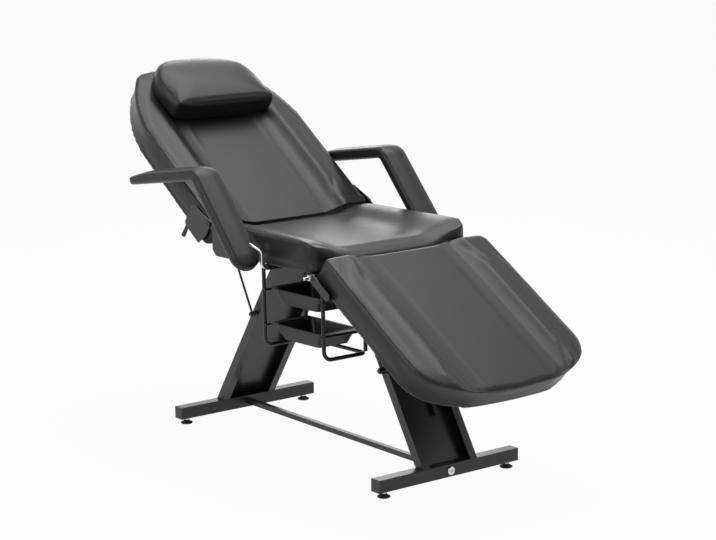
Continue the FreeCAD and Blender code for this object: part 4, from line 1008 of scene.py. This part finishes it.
@dataclass
class Armrests:
    """Both arm pads: a bent stadium-shaped bar of stuffed vinyl with a seam round its upper edge.

    Args:
        workshop: where materials come from.
        middle: X of the base's middle.
        tip, elbow, foot: the centre line's corners, along X from the middle, and up.
        elbow_radius: radius of its bend.
        thickness, edge, crown: of the pad, radius of its edges, and how far its top rises.
        seam_radius, seam_inset: the seam's radius, and how far inside the outline it lies.
        seam_share: how far below the shoulder's top it lies, as a share of the edge.
        tip_share, tip_reach: share of the thickness at the tip, and how far from it that reaches.
        spacing: distance between the points along it.
    """

    workshop: Workshop
    middle: float
    tip: tuple[float, float] = (-0.563, 0.793)
    elbow: tuple[float, float] = (-0.190, 0.851)
    foot: tuple[float, float] = (0.042, 0.598)
    elbow_radius: float = 0.042
    thickness: float = 0.041
    edge: float = 0.013
    crown: float = 0.004
    seam_radius: float = 0.0011
    seam_share: float = 0.62
    seam_inset: float = 0.0004
    spacing: float = 0.006
    tip_share: float = 0.62
    tip_reach: float = 0.16

    def runs(self) -> tuple[Array, Array, float, float]:
        """The two straight runs before they are bent into each other.

        Returns:
            Tip to elbow, elbow to foot, the angle between them, and what the bend takes off each.
        """
        first, second = np.subtract(self.elbow, self.tip), np.subtract(self.foot, self.elbow)
        turn = math.acos(first @ second / (np.linalg.norm(first) * np.linalg.norm(second)))
        return first, second, turn, self.elbow_radius * math.tan(turn / 2)

    def length(self) -> float:
        """Arc length from the tip to the foot."""
        first, second, turn, reach = self.runs()
        return np.linalg.norm(first) + np.linalg.norm(second) - 2 * reach + self.elbow_radius * turn

    def centre_line(self, place: Array) -> tuple[Array, Array]:
        """The bent line through the pad, by arc length.

        It runs straight, turns on an arc of the elbow's radius, and runs straight to the foot. The
        square direction is the heading turned a quarter upwards.

        Args:
            place: arc lengths from the tip; values outside the line extend its straight ends.

        Returns:
            Points and square directions in the X and Z plane.
        """
        first, _, turn, reach = self.runs()
        bend_start = np.linalg.norm(first) - reach
        first = first / np.linalg.norm(first)
        turned = np.clip((place - bend_start) / self.elbow_radius, 0.0, turn)
        angle = math.atan2(first[1], first[0]) - turned
        heading = np.stack([np.cos(angle), np.sin(angle)], axis=1)
        square = np.stack([-heading[:, 1], heading[:, 0]], axis=1)
        centre = self.tip + first * bend_start - np.array([-first[1], first[0]]) * self.elbow_radius
        on_first = self.tip + first * np.minimum(place, bend_start)[:, None]
        beyond = np.maximum(place - bend_start - self.elbow_radius * turn, 0.0)[:, None]
        on_arc = centre + square * self.elbow_radius + heading * beyond
        return np.where((place <= bend_start)[:, None], on_first, on_arc), square

    def stadium(self, half: float, inset: Array, count: int) -> tuple[Array, Array]:
        """Plan outline of the pad, drawn in by an inset.

        Each point lies half - inset away from the middle line: square to it along the two straight
        runs, and turning through a half circle about each of its ends.

        Args:
            half: half the pad's width.
            inset: distances inside the outline, one for each ring.
            count: points on each straight run; each half circle has a third of that.

        Returns:
            Places along the pad and across it, rings by points.
        """
        span = np.linspace(half, self.length() - half, count)
        bow = np.linspace(-QUARTER, QUARTER, count // 3)[1:-1]
        spine = np.concatenate([span, np.full_like(bow, span[-1]), span[::-1], np.full_like(bow, half)])
        turn = np.concatenate([np.full(count, -QUARTER), bow, np.full(count, QUARTER), bow + 2 * QUARTER])
        radius = (half - inset)[:, None]
        return spine + radius * np.cos(turn), radius * np.sin(turn)

    def profile(self, half: float) -> tuple[Array, Array]:
        """Cross section from the top's middle line over the edge to the underside's middle line.

        The edges are quarter circles. The top rises to its crown on a parabola.

        Args:
            half: half the pad's width.

        Returns:
            Insets from the outline and heights above the centre line.
        """
        flat = np.linspace(half, self.edge, FLAT_POINTS)[:-1]
        angle = np.linspace(0, QUARTER, EDGE_POINTS)
        round_inset = self.edge * (1 - np.cos(angle[::-1]))
        round_rise = self.edge * np.sin(angle[::-1])
        shoulder = self.thickness / 2 - self.crown - self.edge
        side_low = -self.thickness / 2 + self.edge
        top_height = shoulder + self.edge + self.crown * (1 - ((half - flat) / (half - self.edge)) ** 2)
        side = np.linspace(shoulder, side_low, FLANK_POINTS)[1:-1]
        inset = np.concatenate([flat, round_inset, np.zeros(len(side)), round_inset[::-1], flat[::-1]])
        height = np.concatenate([top_height, shoulder + round_rise, side, side_low - round_rise[::-1],
                                 np.full(len(flat), -self.thickness / 2)])
        return inset, height

    def build(self) -> None:
        """Make both pads and their seams."""
        for side in Side:
            self.build_pad(side)

    def build_pad(self, side: Side) -> None:
        """One side's pad with the seam round its upper edge."""
        label = side.name.lower()
        node = f"armrest_pad_{label}"
        low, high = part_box(node)
        half, middle_y = (high.y - low.y) / 2, (high.y + low.y) / 2
        count = int(self.length() / self.spacing)
        inset, height = self.profile(half)
        along, across = self.stadium(half, inset, count)
        points = self.bent(along, across, height[:, None], middle_y)
        skin = make_object(f"{node}_upholstery", points, ring_quads(*along.shape))
        StuffedPiece(skin.name, node, f"armrest_{label}", Stuffing(fill=0.95), self.workshop).finish(skin)
        seam_height = self.thickness / 2 - self.crown - self.edge * self.seam_share
        along, across = self.stadium(half, np.array([self.seam_inset]), count)
        line = self.bent(along, across, seam_height, middle_y)
        seam = swept_cord(f"{node}_seam", line, np.array([0.0, 0.0, 1.0]), self.seam_radius,
                          closed=True, sides=6)
        dress(seam, f"armrest_{label}", self.workshop)

    def bent(self, along: Array, across: Array, height: Array | float, middle_y: float) -> Array:
        """Carry flat places onto the bent centre line, with the pad thinner near its tip.

        The share of the thickness over the underside rises from tip_share on a quarter of a sine.

        Args:
            along: places along the pad.
            across: places across it.
            height: heights of the full pad above its centre line.
            middle_y: the pad's middle in the chair's frame.

        Returns:
            N by 3 points in the chair's frame.
        """
        share = self.tip_share + (1 - self.tip_share) * np.sin(QUARTER * ramp(along, 0.0, self.tip_reach))
        level = (height + self.thickness / 2) * share - self.thickness / 2
        centre, square = self.centre_line(along.ravel())
        plane = centre + square * level.ravel()[:, None]
        return np.stack([plane[:, 0] + self.middle, middle_y + across.ravel(), plane[:, 1]], axis=1)


@dataclass(frozen=True)
class Lamp:
    """One soft lamp.

    Args:
        name: its name.
        place, aim: where it stands, and what it points at.
        size, power: side of its square, and watts.
    """

    name: str
    place: tuple[float, float, float]
    aim: tuple[float, float, float]
    size: float
    power: float


LAMPS = (
    Lamp("key", (-0.8, -4.2, 2.6), (0.0, 0.0, 0.5), 2.4, 60.0),
    Lamp("top", (-0.2, 0.8, 4.4), (0.1, 0.0, 0.6), 3.2, 150.0),
    Lamp("back", (-3.6, 2.8, 2.4), (0.0, 0.0, 0.7), 1.6, 30.0),
)


@dataclass
class Studio:
    """White floor and surround, soft lamps and the camera at the photograph's angle.

    Args:
        middle: X of the base's middle.
        floor_half, floor_tone: half the floor's side, and how much of the light it throws back.
        world_fill: level of the surround's plain light.
        shadow_share: how much of the floor's shading is seen.
        azimuth, elevation: degrees of the camera's place, from -Y to +X, and over the floor.
        roll: degrees that it is turned about its own axis.
        offset: the aimed point in the camera's frame: to the right, up and ahead.
        aim_drop: how far the aimed point lies below the floor.
        focal_pixels: focal length in pixels of the photograph.
    """

    middle: float
    floor_half: float = 30.0
    floor_tone: float = 0.8
    world_fill: float = 0.15
    shadow_share: float = 0.05
    azimuth: float = 52.0936
    elevation: float = 11.4423
    roll: float = -0.4214
    offset: tuple[float, float, float] = (-0.05414, -0.54373, 6.43219)
    aim_drop: float = 0.012
    focal_pixels: float = 2104.61

    def build(self) -> None:
        """Set up the whole studio."""
        self.floor()
        self.surround()
        for lamp in LAMPS:
            self.hang(lamp)
        self.camera()
        bpy.context.scene.view_settings.view_transform = "Standard"

    @staticmethod
    def seen_rays(tree: NodeTree) -> NodeSocket:
        """Output that is 1 on camera, glossy and transmission rays, which should see white.

        Args:
            tree: where its nodes go.
        """
        paths = add_node(tree, "LightPath").outputs
        seen = math_node(tree, "MAXIMUM", paths["Is Camera Ray"], paths["Is Glossy Ray"])
        return math_node(tree, "MAXIMUM", seen, paths["Is Transmission Ray"])

    def floor(self) -> None:
        """Wide floor: white where it is seen, with a faint shadow, and pale grey to the light."""
        reach = self.floor_half
        corners = reach * np.array([[-1.0, -1.0, 0.0], [1.0, -1.0, 0.0], [1.0, 1.0, 0.0], [-1.0, 1.0, 0.0]])
        plane = make_object("floor", corners, [[0, 1, 2, 3]])
        material = bpy.data.materials.new("studio_floor")
        material.use_nodes = True
        tree = material.node_tree
        tree.nodes.remove(tree.nodes["Principled BSDF"])
        pale = add_node(tree, "BsdfDiffuse", Color=(self.floor_tone,) * 3 + (1.0,))
        share = math_node(tree, "MULTIPLY", self.seen_rays(tree), 1.0 - self.shadow_share)
        blend = add_node(tree, "MixShader")
        feed(blend, {0: share, 1: pale.outputs[0], 2: add_node(tree, "Emission").outputs[0]})
        feed(tree.nodes["Material Output"], {"Surface": blend.outputs[0]})
        plane.data.materials.append(material)

    def surround(self) -> None:
        """White to the rays that see it, and a plain level of fill to the rest."""
        world = bpy.data.worlds.new("surround")
        bpy.context.scene.world = world
        world.use_nodes = True
        tree = world.node_tree
        level = add_node(tree, "MapRange", Value=self.seen_rays(tree))
        feed(level, {"To Min": self.world_fill, "To Max": 1.0})
        feed(tree.nodes["Background"], {"Color": (1.0,) * 4, "Strength": level.outputs[0]})

    @staticmethod
    def hang(lamp: Lamp) -> None:
        """Place one square area lamp that the camera doesn't see."""
        data = bpy.data.lights.new(lamp.name, "AREA")
        data.shape = "SQUARE"
        data.size = lamp.size
        data.energy = lamp.power
        holder = add_object(lamp.name, data)
        holder.location = lamp.place
        holder.visible_camera = False
        heading = Vector(lamp.aim) - Vector(lamp.place)
        holder.rotation_euler = heading.to_track_quat("-Z", "Y").to_euler()

    def camera(self) -> None:
        """Camera at the photograph's angle, upright but for its small roll."""
        turn, rise = math.radians(self.azimuth), math.radians(self.elevation)
        back = Vector((math.sin(turn) * math.cos(rise), -math.cos(turn) * math.cos(rise), math.sin(rise)))
        facing = back.to_track_quat("Z", "Y").to_matrix()
        facing = facing @ Matrix.Rotation(math.radians(self.roll), 3, "Z")
        right, up, ahead = self.offset
        place = Vector((self.middle, 0.0, -self.aim_drop)) - facing @ Vector((right, up, -ahead))
        data = bpy.data.cameras.new("camera")
        data.sensor_fit = "HORIZONTAL"
        data.sensor_width = SENSOR_WIDTH
        data.lens = self.focal_pixels * SENSOR_WIDTH / PHOTO_WIDTH
        holder = add_object("camera", data)
        holder.matrix_world = Matrix.Translation(place) @ facing.to_4x4()
        bpy.context.scene.camera = holder


def main() -> None:
    """Build the chair's soft pieces, dress everything and set up the studio."""
    logging.basicConfig(level=logging.INFO, format="%(name)s: %(message)s")
    rear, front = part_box("rear_crossbar"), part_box("front_crossbar")
    middle = (rear[0].x + rear[1].x + front[0].x + front[1].x) / 4
    workshop = Workshop()
    workshop.dress_nodes()
    Upholstery(workshop, middle).build()
    Armrests(workshop, middle).build()
    Studio(middle).build()


if __name__ == "__main__":
    main()
